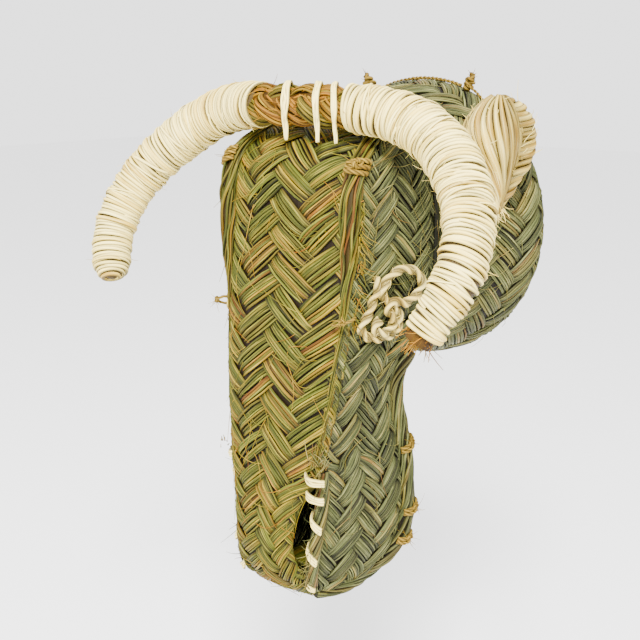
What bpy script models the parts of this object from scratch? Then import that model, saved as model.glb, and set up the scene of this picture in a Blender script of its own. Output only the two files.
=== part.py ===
"""Wall-hung horned goat head, plaited from esparto grass and trimmed with raffia.

The wall is the plane Y = 0 and the head looks along -Y. +Z is up and +X is the animal's
left. The origin is the centre of the neck rim, in the wall. Sizes are in metres.
"""

import math

import bpy
import numpy as np
from mathutils import Vector

# ---- clearances and stock ----
GAP = 0.0003            # between pieces that touch
PLAIT = 0.006           # thickness of the plaited band
ROLL_R = 0.0062         # strand roll along the front corners of the head
CROWN_ROLL_R = 0.0048   # the same roll where it passes under the horns
SEAM_R = 0.0062         # sewn roll along the rear corners of the muzzle
COLLAR_SEAM_R = 0.0045  # sewn roll between head and neck
TWINE_R = 0.0013        # esparto twine of the ties
RAFFIA_R = 0.0014       # raffia strip of the mouth stitches

# ---- neck ----
RIM_R = 0.100           # outer radius of the rim that lies on the wall
SEAM_Y = -0.088         # plane where head and neck are sewn together
COLLAR_A = 0.072        # half width of the neck at that plane
COLLAR_B = 0.080        # half height of the neck at that plane
COLLAR_N = 3.0          # squareness of that outline

# ---- head ----
CROWN_HALF = 0.044      # half width of the face band behind the horn bar
BROW_HALF = 0.052       # half width of the face at the brow
NOSE_HALF = 0.031       # half width of the face at the nose
BROW_Y = -0.157         # face plane at the brow
NOSE_Y = -0.181         # face plane at the nose
CROWN_Z = 0.0745        # top of the head behind the horn bar
CHIN_Z = -0.240         # lowest point of the muzzle
BROW_LOW_Z = -0.010     # lower end of the flat brow
NOSE_TURN = 0.046       # height over which the nose turns under
MUZZLE_BACK_Y = -0.087  # rear corners of the muzzle
MUZZLE_BACK_HALF = 0.047
FACE_BULGE = 0.005      # crown of the face across its width
CHEEK_BULGE = 0.004
CHIN_PAD = 0.005        # thickness of the folded ends that close the chin
CHIN_LAP = 0.012        # how far they lie on the front band's turned-under end
CHIN_RISE = 0.012       # where the rear rolls end, above the chin

# ---- mouth ----
MOUTH_TOP_Z = CHIN_Z + 0.098
MOUTH_BOTTOM_Z = CHIN_Z + 0.011
MOUTH_OPEN = 0.009      # extra width of the slit at its middle
LIP_R = 0.0045          # strand roll whipped with raffia along the slit
LIP_STITCHES = 5

# ---- horns ----
BAR_R = 0.0138          # bare braid between the two wraps
BAR_HALF = 0.036        # half length of the bare braid
CORE_ROOT_R = 0.0118    # braid inside the wrap, at its root
CORE_TIP_R = 0.0095
WRAP_ROOT_R = 0.0153    # outside of the raffia wrap
WRAP_MID_R = 0.0168
WRAP_TIP_R = 0.0135
CORE_STUB = 0.007       # braid that stands out of the left wrap's tip
CORE_SHORT = 0.010      # wrap beyond the braid's end at the right tip
HORN_ROUTE = (
    (0.000, -0.147, 0.0865), (0.035, -0.146, 0.086), (0.085, -0.137, 0.077),
    (0.131, -0.153, 0.043), (0.146, -0.178, 0.001), (0.132, -0.195, -0.036),
)
HORN_STATIONS = 30      # sections along each half
BAR_STITCH_X = (-0.009, 0.017, 0.030)
BAR_STITCH_R = 0.0022

# ---- ears and eyes ----
EAR_Y = -0.053
EAR_ROOT_ANGLE = math.radians(9)  # place of its root round the neck, up from +X
EAR_EASE = 0.0001       # between ear and neck where they are closest
EAR_LENGTH = 0.080
EAR_HALF_WIDTH = 0.026
EAR_FLATNESS = 0.55
EAR_TURN = math.radians(-30)
EYE_CENTRE = (-0.129, -0.039)  # Y and Z of the eye on the cheek
EYE_HALF = 0.0115              # radius of each of its two cord rings
EYE_LEAN = 0.35                # how far the upper ring leans back
EYE_CORD_R = 0.0028

# ---- ties along the seams, by height ----
ROLL_TIES_Z = (0.050, -0.045)
SEAM_TIES_Z = (CHIN_Z + 0.095, CHIN_Z + 0.048, CHIN_Z + 0.026)

PARTS = "goat_head"

COLOURS = {
    "plait_face": ((0.33, 0.29, 0.10), 0.75),
    "plait_side": ((0.25, 0.26, 0.13), 0.75),
    "plait_bar": ((0.30, 0.19, 0.06), 0.75),
    "raffia": ((0.80, 0.68, 0.42), 0.6),
    "twine": ((0.45, 0.33, 0.15), 0.8),
}


# ---------------------------------------------------------------- helpers
def clear_scene():
    for item in list(bpy.data.objects):
        bpy.data.objects.remove(item, do_unlink=True)


def collection(name):
    made = bpy.data.collections.new(name)
    bpy.context.scene.collection.children.link(made)
    return made


def material(slot):
    found = bpy.data.materials.get(slot)
    if found:
        return found
    colour, rough = COLOURS[slot]
    made = bpy.data.materials.new(slot)
    made.use_nodes = True
    shader = made.node_tree.nodes["Principled BSDF"]
    shader.inputs["Base Color"].default_value = (*colour, 1.0)
    shader.inputs["Roughness"].default_value = rough
    shader.inputs["Metallic"].default_value = 0.0
    return made


def add(name, data, slot):
    item = bpy.data.objects.new(name, data)
    data.materials.append(material(slot))
    bpy.data.collections[PARTS].objects.link(item)
    return item


def smooth(points, count):
    """A natural cubic through the points, evenly spaced in its parameter."""
    knots = np.asarray(points, float)
    last = len(knots) - 1
    system = np.eye(last + 1)
    right = np.zeros_like(knots)
    for i in range(1, last):
        system[i, i - 1:i + 2] = (1.0, 4.0, 1.0)
        right[i] = 6.0 * (knots[i - 1] - 2.0 * knots[i] + knots[i + 1])
    bend = np.linalg.solve(system, right)
    place = np.linspace(0.0, last, count)
    low = np.minimum(place.astype(int), last - 1)
    t = (place - low)[:, None]
    s = 1.0 - t
    return (s * knots[low] + t * knots[low + 1]
            + ((s**3 - s) * bend[low] + (t**3 - t) * bend[low + 1]) / 6.0)


def tube(name, points, radii, slot, cyclic=False, sides=2):
    """A round strand along a route; sides counts its bevel steps."""
    data = bpy.data.curves.new(name, "CURVE")
    data.dimensions = "3D"
    data.bevel_depth = 1.0
    data.bevel_resolution = sides
    data.use_fill_caps = not cyclic
    spline = data.splines.new("POLY")
    spline.points.add(len(points) - 1)
    radii = np.broadcast_to(radii, len(points))
    for knot, place, radius in zip(spline.points, points, radii):
        knot.co = (*place, 1.0)
        knot.radius = float(radius)
    spline.use_cyclic_u = cyclic
    return add(name, data, slot)


def to_mesh(item):
    """The curve object as a mesh object of the same name, with its caps welded."""
    graph = bpy.context.evaluated_depsgraph_get()
    data = bpy.data.meshes.new_from_object(item.evaluated_get(graph))
    name, place = item.name, item.matrix_world.copy()
    homes = list(item.users_collection)
    bpy.data.objects.remove(item, do_unlink=True)
    made = bpy.data.objects.new(name, data)
    made.matrix_world = place
    for home in homes:
        home.objects.link(made)
    weld = made.modifiers.new("caps", "WELD")
    weld.merge_threshold = 0.00001
    return made


def sheet(name, grid, slot, closed=False):
    """An open sheet through a grid of points, outer side up, thickened inwards."""
    rows, columns = grid.shape[:2]
    index = np.arange(rows * columns).reshape(rows, columns)
    faces = []
    for i in range(rows - 1):
        for j in range(columns if closed else columns - 1):
            k = (j + 1) % columns
            faces.append((index[i, j], index[i + 1, j], index[i + 1, k], index[i, k]))
    data = bpy.data.meshes.new(name)
    data.from_pydata(grid.reshape(-1, 3).tolist(), [], [[int(v) for v in f] for f in faces])
    item = add(name, data, slot)
    shell = item.modifiers.new("plait", "SOLIDIFY")
    shell.thickness = PLAIT
    shell.offset = -1.0
    return item


def unit(vectors):
    return vectors / np.linalg.norm(vectors, axis=-1, keepdims=True)


def cut(item, cutter):
    boolean = item.modifiers.new("cut", "BOOLEAN")
    boolean.operation = "DIFFERENCE"
    boolean.solver = "EXACT"
    boolean.object = cutter
    cutter.hide_render = True
    cutter.display_type = "WIRE"
    for home in list(cutter.users_collection):
        home.objects.unlink(cutter)
    bpy.data.collections["cutters"].objects.link(cutter)


def mirrored(points, side):
    return np.asarray(points, float) * np.array((side, 1.0, 1.0))


# ---------------------------------------------------------------- head outline
def collar_x(z):
    """Half width of the head-to-neck outline at height z."""
    left = 1.0 - (abs(z) / COLLAR_B) ** COLLAR_N
    return COLLAR_A * max(left, 0.0) ** (1.0 / COLLAR_N)


def cheek_z(number):
    """Heights of the head's outline points between the brow and the turn of the nose."""
    low = CHIN_Z + NOSE_TURN
    return BROW_LOW_Z + (low - BROW_LOW_Z) * (0.0, 0.245, 0.462, 0.734, 1.0)[number]


def ridge(count):
    """Front corner of the head from crown to chin, as (half width, y, z) rows."""
    crown_y = SEAM_Y - COLLAR_SEAM_R - GAP
    middle_y = 0.5 * (BROW_Y + NOSE_Y)
    return smooth((
        (CROWN_HALF, crown_y, CROWN_Z),
        (CROWN_HALF + 0.003, BROW_Y + 0.035, CROWN_Z - 0.004),
        (BROW_HALF - 0.001, BROW_Y + 0.012, CROWN_Z - 0.017),
        (BROW_HALF, BROW_Y, 0.036),
        (BROW_HALF, BROW_Y - 0.003, cheek_z(0)),
        (BROW_HALF - 0.002, BROW_Y - 0.007, cheek_z(1)),
        (BROW_HALF - 0.006, middle_y, cheek_z(2)),
        (NOSE_HALF + 0.007, NOSE_Y + 0.006, cheek_z(3)),
        (NOSE_HALF, NOSE_Y, cheek_z(4)),
        (NOSE_HALF - 0.002, NOSE_Y + 0.004, CHIN_Z + 0.018),
        (NOSE_HALF - 0.007, NOSE_Y + 0.021, CHIN_Z),
        (NOSE_HALF - 0.010, NOSE_Y + 0.046, CHIN_Z + 0.001),
    ), count)


def back_corner(count):
    """Rear edge of the side band, row by row with ridge()."""
    back, half = MUZZLE_BACK_Y, MUZZLE_BACK_HALF
    rows = [(collar_x(z), SEAM_Y, z) for z in
            (CROWN_Z - 0.002, CROWN_Z - 0.006, CROWN_Z - 0.015, 0.038, cheek_z(0), cheek_z(1))]
    rows += [
        (half - 0.003, back - 0.011, cheek_z(2)),
        (half - 0.001, back - 0.004, cheek_z(3)),
        (half, back, cheek_z(4)),
        (half - 0.006, back - 0.006, CHIN_Z + 0.016),
        (half - 0.017, back - 0.024, CHIN_Z),
    ]
    return smooth(rows, count)


ROWS_PER_POINT = 4
SIDE_ROWS = 10 * ROWS_PER_POINT + 1
RIDGE = ridge(11 * ROWS_PER_POINT + 1)
BACK = back_corner(SIDE_ROWS)


def roll_radius(rows):
    """Radius of the front corner roll by row, slimmer over the crown."""
    return np.interp(rows, (2 * ROWS_PER_POINT, 3 * ROWS_PER_POINT), (CROWN_ROLL_R, ROLL_R))


def rows_between(top, bottom):
    """Rows of the head whose front corner lies between two heights, below the brow."""
    heights = RIDGE[:SIDE_ROWS, 2]
    return np.nonzero((heights <= top) & (heights >= bottom))[0]


def lip_offset(z):
    """Distance of the lip's centre line behind the front corner, at heights z."""
    along = np.clip((MOUTH_TOP_Z - z) / (MOUTH_TOP_Z - MOUTH_BOTTOM_Z), 0.0, 1.0)
    return LIP_R + MOUTH_OPEN * np.sin(math.pi * along)


def front_band():
    across = np.linspace(-1.0, 1.0, 9)
    rows = RIDGE[::2]
    step = np.gradient(rows[:, 1:], axis=0)
    outward = unit(np.stack((step[:, 1], -step[:, 0]), -1))
    lean = unit(np.gradient(rows, axis=0))[:, 0]
    half = rows[:, 0] - (roll_radius(np.arange(len(RIDGE)))[::2] + GAP) / np.sqrt(1.0 - lean**2)
    flatten = np.clip((len(rows) - 1 - np.arange(len(rows))) / 6.0, 0.0, 1.0)
    bulge = FACE_BULGE * flatten[:, None] * (1.0 - across**2)
    grid = np.empty((len(rows), len(across), 3))
    grid[..., 0] = half[:, None] * across
    grid[..., 1:] = rows[:, None, 1:] + bulge[..., None] * outward[:, None, :]
    return sheet("front_band", grid, "plait_face")


def slant(run, edge):
    """Sine of the angle at which rows with directions run meet an edge."""
    along = unit(np.gradient(edge, axis=0))
    return np.linalg.norm(np.cross(run, along), axis=1)


def side_grid(start, stop, first, last):
    """Cheek surface between two distances, in from its front and rear edges."""
    front, back = RIDGE[first:last], BACK[first:last]
    run = unit(back - front)
    span = np.linalg.norm(back - front, axis=1)
    low = start / (span * slant(run, front))
    high = 1.0 - stop / (span * slant(run, back))
    share = np.linspace(0.0, 1.0, 8)
    t = low[:, None] + (high - low)[:, None] * share
    down = np.gradient(0.5 * (front + back), axis=0)
    outward = unit(np.cross(run, down))
    outward *= np.sign(outward[:, :1])
    body = front[:, None] + t[..., None] * (back - front)[:, None]
    return body + (CHEEK_BULGE * 4.0 * t * (1.0 - t))[..., None] * outward[:, None]


def side_band(name, side):
    first = ROWS_PER_POINT // 2
    heights = RIDGE[first:SIDE_ROWS, 2]
    in_mouth = (heights <= MOUTH_TOP_Z) & (heights >= MOUTH_BOTTOM_Z - 0.004)
    lip = lip_offset(heights) + LIP_R + GAP
    start = np.where(in_mouth, lip, roll_radius(np.arange(first, SIDE_ROWS)) + GAP)
    stop = np.full(len(heights), SEAM_R + GAP)
    grid = mirrored(side_grid(start, stop, first, SIDE_ROWS), side)
    return sheet(name, grid if side > 0 else grid[:, ::-1], "plait_side")


def throat_band():
    top = -COLLAR_B - COLLAR_SEAM_R - GAP
    keep = np.nonzero(BACK[:, 2] < top)[0]
    rows = BACK[keep]
    rows = np.vstack(((rows[0, 0], rows[0, 1], top), rows))[:-1]
    across = np.linspace(-1.0, 1.0, 7)
    grid = np.empty((len(rows), len(across), 3))
    grid[..., 0] = (rows[:, 0] - SEAM_R - GAP)[:, None] * across
    grid[..., 1] = rows[:, 1][:, None]
    grid[..., 2] = rows[:, 2][:, None]
    return sheet("throat_band", grid[:, ::-1], "plait_side")


def chin_pad():
    """Folded band ends that plug the bottom of the muzzle, on top of the front band's end."""
    front = RIDGE[-1]
    back = BACK[-1]
    low = front[2] + PLAIT + GAP
    size = Vector((2.0 * (front[0] - GAP), back[1] - front[1] + CHIN_LAP, CHIN_PAD))
    bpy.ops.mesh.primitive_cube_add(size=1.0)
    item = bpy.context.object
    item.name = item.data.name = "chin_pad"
    for vertex in item.data.vertices:
        vertex.co = Vector(a * b for a, b in zip(vertex.co, size))
    item.location = (0.0, 0.5 * (front[1] + back[1] - CHIN_LAP), low + 0.5 * CHIN_PAD)
    for home in list(item.users_collection):
        home.objects.unlink(item)
    bpy.data.collections[PARTS].objects.link(item)
    item.data.materials.append(material("plait_face"))
    edge = item.modifiers.new("edge", "BEVEL")
    edge.width = 0.0015
    edge.segments = 2
    return item


def corner_roll(name, side):
    """Strand roll along the front corner, from the crown to the mouth slit."""
    rows = rows_between(CROWN_Z, MOUTH_TOP_Z + 0.001)[1:]
    return tube(name, mirrored(RIDGE[rows], side), roll_radius(rows), "plait_face")


def seam_roll(name, side):
    """Sewn roll down the rear corner of the muzzle, from the neck seam to the chin."""
    clear = COLLAR_SEAM_R + SEAM_R + GAP
    keep = (BACK[:, 2] < 0.010 - COLLAR_B - clear) & (BACK[:, 2] > CHIN_Z + CHIN_RISE)
    return tube(name, mirrored(BACK[keep], side), SEAM_R, "plait_side")


# ---------------------------------------------------------------- neck
def collar_outline(angles):
    """The head-to-neck outline as radii at angles from +X towards +Z."""
    c = np.abs(np.cos(angles)) / COLLAR_A
    s = np.abs(np.sin(angles)) / COLLAR_B
    return (c**COLLAR_N + s**COLLAR_N) ** (-1.0 / COLLAR_N)


def collar_seam():
    angles = np.linspace(0.0, 2.0 * math.pi, 56, endpoint=False)
    radii = collar_outline(angles)
    points = np.stack((radii * np.cos(angles), np.full(56, SEAM_Y), radii * np.sin(angles)), -1)
    return tube("collar_seam", points, COLLAR_SEAM_R, "plait_side", cyclic=True, sides=1)


def neck_radius(share, angles):
    """Neck radius from the seam (share 0) to the wall (share 1)."""
    front = collar_outline(angles)
    return front + (RIM_R - front) * np.sin(0.5 * math.pi * np.minimum(share, 1.0))


def neck_band():
    angles = np.linspace(0.0, 2.0 * math.pi, 48, endpoint=False)
    front = SEAM_Y + COLLAR_SEAM_R + GAP
    share = np.array((0.0, 0.25, 0.5, 0.75, 1.0, 1.05))
    grid = np.empty((len(share), len(angles), 3))
    radius = neck_radius(share[:, None], angles[None, :])
    grid[..., 0] = radius * np.cos(angles)
    grid[..., 1] = (front * (1.0 - share))[:, None]
    grid[..., 2] = radius * np.sin(angles)
    item = sheet("neck_band", grid, "plait_side", closed=True)
    bpy.ops.mesh.primitive_cube_add(size=1.0)
    wall = bpy.context.object
    wall.name = "wall_trim"
    wall.scale = (3.0 * RIM_R, RIM_R, 3.0 * RIM_R)
    wall.location = (0.0, 0.5 * RIM_R, 0.0)
    cut(item, wall)
    return item


# ---------------------------------------------------------------- horns
def horn_route(count):
    """Centre line of the left half of the bar and horn, evenly spaced along itself."""
    fine = smooth(HORN_ROUTE, 400)
    length = np.concatenate(([0.0], np.cumsum(np.linalg.norm(np.diff(fine, axis=0), axis=1))))
    even = np.linspace(0.0, length[-1], count)
    return np.stack([np.interp(even, length, fine[:, i]) for i in range(3)], -1), even


def horn_core():
    """One braided bar that runs through both wraps."""
    route, length = horn_route(HORN_STATIONS)
    left_stop = length[-1] + CORE_STUB
    right_stop = length[-1] - CORE_SHORT
    tip = route[-1] + unit(route[-1] - route[-2]) * CORE_STUB
    left = np.vstack((route, tip))
    left_s = np.append(length, left_stop)
    keep = length < right_stop
    right = mirrored(route[keep], -1.0)[::-1]
    points = np.vstack((right[:-1], left))
    along = np.concatenate((length[keep][::-1][:-1], left_s))
    return tube("horn_core", points, core_radius(along), "plait_bar")


def squeezed_radius(along):
    """Braid under the wrap, thinner towards the tip."""
    return np.interp(along, (BAR_HALF, 0.24), (CORE_ROOT_R, CORE_TIP_R))


def core_radius(along):
    """Bare braid up to BAR_HALF, then squeezed thinner under the wrap."""
    return np.where(along < BAR_HALF - 0.001, BAR_R, squeezed_radius(along))


def horn_wrap(name, side):
    """Raffia sleeve over the core, from the bare bar to the tip."""
    route, length = horn_route(HORN_STATIONS)
    keep = length > BAR_HALF
    points, along = route[keep], length[keep]
    end = along[-1]
    radii = np.interp(along, (BAR_HALF, 0.5 * end, end), (WRAP_ROOT_R, WRAP_MID_R, WRAP_TIP_R))
    if side < 0:
        left = np.clip((end - along) / WRAP_TIP_R, 0.0, 1.0)
        radii = radii * np.maximum(np.sqrt(1.0 - (1.0 - left) ** 2), 0.35)
    item = to_mesh(tube(name, mirrored(points, side), radii, "raffia", sides=3))
    inner_stop = end + 0.01 if side > 0 else end - CORE_SHORT + GAP
    bore = (length > BAR_HALF - 0.012) & (length < inner_stop)
    path = route[bore]
    radii = (squeezed_radius(length[bore]) + GAP) / math.cos(math.pi / 12)
    if side > 0:
        path = np.vstack((path, path[-1] + unit(path[-1] - path[-2]) * 0.01))
        radii = np.append(radii, radii[-1])
    cut(item, to_mesh(tube(name + "_bore", mirrored(path, side), radii, "raffia", sides=4)))
    return item


# ---------------------------------------------------------------- small trim
def lashing(name, centre, tangent, outward, radius, wire, span, slot, pitch=0.0, tail=0.0):
    """A strand laid part of the way round a roll, span radians to each side of outward."""
    turns = 8
    angles = np.linspace(-span, span, turns + 1)
    reach = (radius + GAP + wire) / math.cos(span / turns)
    along = unit(np.asarray(tangent, float))
    out = np.asarray(outward, float)
    out = unit(out - out.dot(along) * along)
    side = np.cross(along, out)
    points = [np.asarray(centre, float) + pitch * math.sin(a) * along
              + reach * (math.cos(a) * out + math.sin(a) * side) for a in angles]
    if tail:
        points.append(points[-1] - tail * np.array((0.0, 0.0, 1.0)))
    return tube(name, points, wire, slot, sides=1)


def bar_stitches():
    route, _ = horn_route(120)
    for number, x in enumerate(BAR_STITCH_X, 1):
        y, z = (np.interp(abs(x), route[:, 0], route[:, i]) for i in (1, 2))
        lashing(f"bar_stitch_{number}", (x, y, z), (1.0, 0.0, 0.0), (0.0, -0.72, 0.69),
                BAR_R, BAR_STITCH_R, math.radians(82), "raffia", tail=0.008)


def at_height(curve, z):
    """Place and tangent of a curve that runs down, at height z."""
    place = np.array([np.interp(-z, -curve[:, 2], curve[:, i]) for i in range(3)])
    step = np.array([np.interp(-z, -curve[:, 2], np.gradient(curve[:, i])) for i in range(3)])
    return place, step


def ties(word, side):
    """Esparto twine round the front rolls and the rear seam rolls."""
    for number, z in enumerate(ROLL_TIES_Z, 1):
        front = RIDGE[ROWS_PER_POINT:SIDE_ROWS]
        centre, step = at_height(front, z)
        row = np.interp(-z, -front[:, 2], np.arange(ROWS_PER_POINT, SIDE_ROWS))
        lashing(f"brow_tie_{word}_{number}", mirrored(centre, side), mirrored(step, side),
                (side, -1.0, 0.0), float(roll_radius(row)), TWINE_R, math.radians(70), "twine", pitch=0.003)
    for number, z in enumerate(SEAM_TIES_Z, 1):
        centre, step = at_height(BACK, z)
        lashing(f"seam_tie_{word}_{number}", mirrored(centre, side), mirrored(step, side),
                (side, 1.0, 0.0), SEAM_R, TWINE_R, math.radians(60), "twine", pitch=0.004)


def lip_route():
    rows = rows_between(MOUTH_TOP_Z - 0.002, MOUTH_BOTTOM_Z)
    front, back = RIDGE[rows], BACK[rows]
    run = unit(back - front)
    return front + lip_offset(front[:, 2])[:, None] * run, run


def mouth(side, word):
    centres, run = lip_route()
    tube(f"mouth_lip_{word}", mirrored(centres, side), LIP_R, "plait_side")
    for number in range(LIP_STITCHES):
        place = (number + 0.5) / LIP_STITCHES * (len(centres) - 1)
        low = int(place)
        share = place - low
        centre = (1.0 - share) * centres[low] + share * centres[low + 1]
        lashing(f"mouth_stitch_{word}_{number + 1}", mirrored(centre, side),
                mirrored(centres[low + 1] - centres[low], side), mirrored(-run[low], side),
                LIP_R, RAFFIA_R, math.radians(70), "raffia", pitch=0.002 * side)


def ear(side, word):
    """A raffia-wrapped drop, narrow end sewn to the neck, turned a little forwards."""
    steps = np.linspace(0.0, 1.0, 13)
    profile = EAR_HALF_WIDTH * np.sin(math.pi * steps**1.35) ** 0.8
    profile[0] = profile[-1] = 0.0
    data = bpy.data.meshes.new(f"ear_{word}")
    data.from_pydata(
        [(float(r), 0.0, float(EAR_LENGTH * s)) for r, s in zip(profile[::-1], steps[::-1])],
        [(i, i + 1) for i in range(len(steps) - 1)], [])
    item = add(f"ear_{word}", data, "raffia")
    turn = item.modifiers.new("turn", "SCREW")
    turn.steps = turn.render_steps = 14
    turn.use_merge_vertices = True
    turn.merge_threshold = 0.0001
    item.scale = (1.0, EAR_FLATNESS, 1.0)
    item.rotation_euler = (0.0, 0.0, side * (0.5 * math.pi + EAR_TURN))
    front = SEAM_Y + COLLAR_SEAM_R + GAP
    neck = neck_radius((front - EAR_Y) / front, EAR_ROOT_ANGLE)
    low = neck * math.sin(EAR_ROOT_ANGLE)
    heights = low + EAR_LENGTH * steps
    around = np.linspace(0.0, 2.0 * math.pi, 28, endpoint=False)[:, None]
    wide, thin = np.cos(around), EAR_FLATNESS * np.sin(around)
    x = -profile * (math.sin(EAR_TURN) * wide + math.cos(EAR_TURN) * thin)
    y = EAR_Y + profile * (math.cos(EAR_TURN) * wide - math.sin(EAR_TURN) * thin)
    neck = neck_radius((front - y) / front, np.arcsin(np.minimum(heights / neck, 1.0)))
    clear = np.sqrt(np.maximum(neck**2 - heights**2, 0.0)) - x
    item.location = mirrored((clear.max() + EAR_EASE, EAR_Y, low), side)
    return item


def cheek(y, z, lift):
    """Points of the left cheek at given Y and Z, lifted outwards by lift."""
    front = np.stack([np.interp(-z, -RIDGE[8:SIDE_ROWS, 2], RIDGE[8:SIDE_ROWS, i])
                      for i in range(2)], -1)
    back = np.stack([np.interp(-z, -BACK[8:, 2], BACK[8:, i]) for i in range(2)], -1)
    run = back - front
    share = (y - front[:, 1]) / run[:, 1]
    out = unit(np.stack((run[:, 1], -run[:, 0]), -1))
    rise = CHEEK_BULGE * 4.0 * share * (1.0 - share) + lift
    flat = front + share[:, None] * run + rise[:, None] * out
    return np.stack((flat[:, 0], flat[:, 1], z), -1)


def eye(side, word):
    """Twisted raffia cord laid on the cheek in a leaning figure of eight."""
    y, z = EYE_CENTRE
    turn = np.linspace(0.0, 2.0 * math.pi, 44, endpoint=False)
    up = 2.0 * EYE_HALF * np.cos(turn)
    out = EYE_HALF * np.sin(2.0 * turn)
    crossing = np.exp(-((turn - 1.5 * math.pi) / 0.30) ** 2)
    lift = EYE_CORD_R + GAP + 0.0006 + (2.0 * EYE_CORD_R + GAP + 0.0005) * crossing
    points = cheek(y + EYE_LEAN * up + out, z + up, lift)
    return tube(f"eye_{word}", mirrored(points, side), EYE_CORD_R, "raffia", cyclic=True, sides=1)


def hanging_trim():
    """The wall cord's two knots on top of the rim and the stretch sewn between them."""
    angles = np.linspace(math.radians(114), math.radians(72), 12)
    y = -0.006
    front = SEAM_Y + COLLAR_SEAM_R + GAP
    share = (front - y) / front
    reach = neck_radius(share, angles) + GAP + TWINE_R
    points = np.stack((reach * np.cos(angles), np.full(12, y), reach * np.sin(angles)), -1)
    tube("hanging_twine", points, TWINE_R, "twine")
    for word, degrees, height in (("left", 69.0, 0.013), ("right", 118.0, 0.018)):
        angle = math.radians(degrees)
        out = np.array((math.cos(angle), 0.0, math.sin(angle)))
        base = (neck_radius(share, angle) + GAP) * out + np.array((0.0, y, 0.0))
        steps = np.linspace(0.0, 1.0, 6)
        radii = 0.0028 + 0.0012 * np.sin(math.pi * steps * 2.0 - 0.9)
        tube(f"hanging_knot_{word}", [base + height * s * out for s in steps], radii, "twine")


# ---------------------------------------------------------------- build
def build():
    clear_scene()
    collection(PARTS)
    collection("cutters")
    front_band()
    throat_band()
    chin_pad()
    collar_seam()
    neck_band()
    horn_core()
    bar_stitches()
    hanging_trim()
    for side, word in ((1.0, "left"), (-1.0, "right")):
        side_band(f"side_band_{word}", side)
        corner_roll(f"corner_roll_{word}", side)
        seam_roll(f"seam_roll_{word}", side)
        horn_wrap(f"horn_wrap_{word}", side)
        ties(word, side)
        mouth(side, word)
        ear(side, word)
        eye(side, word)


build()
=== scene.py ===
"""Looks of a wall-hung goat head, plaited from esparto grass and trimmed with raffia.

The wall is the plane Y = 0 and the head looks along -Y. +Z is up and +X is the animal's
left. The origin is the centre of the neck rim, in the wall. Sizes are in metres.

Every piece is a batch of closed strands: rings of points carried along a path. The paths lie
on the same outline curves as the solid model, which are repeated here.
"""

import logging
import math
import zlib
from dataclasses import dataclass, field
from enum import Enum

import bpy
import numpy as np
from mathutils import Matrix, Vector


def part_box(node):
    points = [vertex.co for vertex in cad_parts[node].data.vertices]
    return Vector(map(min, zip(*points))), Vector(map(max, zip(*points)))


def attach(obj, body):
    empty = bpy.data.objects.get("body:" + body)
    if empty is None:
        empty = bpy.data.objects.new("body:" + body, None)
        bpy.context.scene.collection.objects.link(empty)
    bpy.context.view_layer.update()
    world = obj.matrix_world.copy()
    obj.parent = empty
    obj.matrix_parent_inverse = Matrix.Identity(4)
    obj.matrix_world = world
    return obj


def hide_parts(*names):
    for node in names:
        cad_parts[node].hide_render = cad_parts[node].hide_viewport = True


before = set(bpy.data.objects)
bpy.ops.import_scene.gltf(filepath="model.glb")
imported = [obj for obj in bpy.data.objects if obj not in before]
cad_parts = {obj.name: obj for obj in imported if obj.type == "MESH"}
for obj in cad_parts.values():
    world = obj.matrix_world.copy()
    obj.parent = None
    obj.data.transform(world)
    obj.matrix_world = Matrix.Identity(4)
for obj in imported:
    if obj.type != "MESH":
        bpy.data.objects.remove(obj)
log = logging.getLogger("goat_head")
Array = np.ndarray

TAU = 2.0 * math.pi
FORWARD = np.array((0.0, -1.0, 0.0))
UP = np.array((0.0, 0.0, 1.0))

# ---- sizes shared with the solid model ----
GAP = 0.0003
ROLL_R = 0.0062
CROWN_ROLL_R = 0.0048
SEAM_R = 0.0062
COLLAR_SEAM_R = 0.0045
TWINE_R = 0.0013
RIM_R = 0.100
SEAM_Y = -0.088
NECK_FRONT = SEAM_Y + COLLAR_SEAM_R + GAP
COLLAR_A = 0.072
COLLAR_B = 0.080
COLLAR_N = 3.0
CROWN_HALF = 0.044
BROW_HALF = 0.052
NOSE_HALF = 0.031
BROW_Y = -0.157
NOSE_Y = -0.181
CROWN_Z = 0.0745
CHIN_Z = -0.240
BROW_LOW_Z = -0.010
NOSE_TURN = 0.046
MUZZLE_BACK_Y = -0.087
MUZZLE_BACK_HALF = 0.047
FACE_BULGE = 0.005
CHEEK_BULGE = 0.004
MOUTH_TOP_Z = CHIN_Z + 0.098
MOUTH_BOTTOM_Z = CHIN_Z + 0.011
MOUTH_OPEN = 0.009
LIP_R = 0.0045
BAR_R = 0.0138
BAR_HALF = 0.036
WRAP_ROOT_R = 0.0153
WRAP_MID_R = 0.0168
WRAP_TIP_R = 0.0135
CORE_STUB = 0.007
HORN_ROUTE = (
    (0.000, -0.147, 0.0865), (0.035, -0.146, 0.086), (0.085, -0.137, 0.077),
    (0.131, -0.153, 0.043), (0.146, -0.178, 0.001), (0.132, -0.195, -0.036),
)
BAR_STITCH_X = (-0.009, 0.017, 0.030)
EAR_Y = -0.053
EAR_ROOT_ANGLE = math.radians(9)
EAR_EASE = 0.0001
EAR_LENGTH = 0.080
EAR_HALF_WIDTH = 0.026
EAR_FLATNESS = 0.55
EAR_TURN = math.radians(-30)
EYE_CENTRE = (-0.129, -0.039)
ROLL_TIES_Z = (0.050, -0.045)
SEAM_TIES_Z = (CHIN_Z + 0.095, CHIN_Z + 0.048, CHIN_Z + 0.026)

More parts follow.
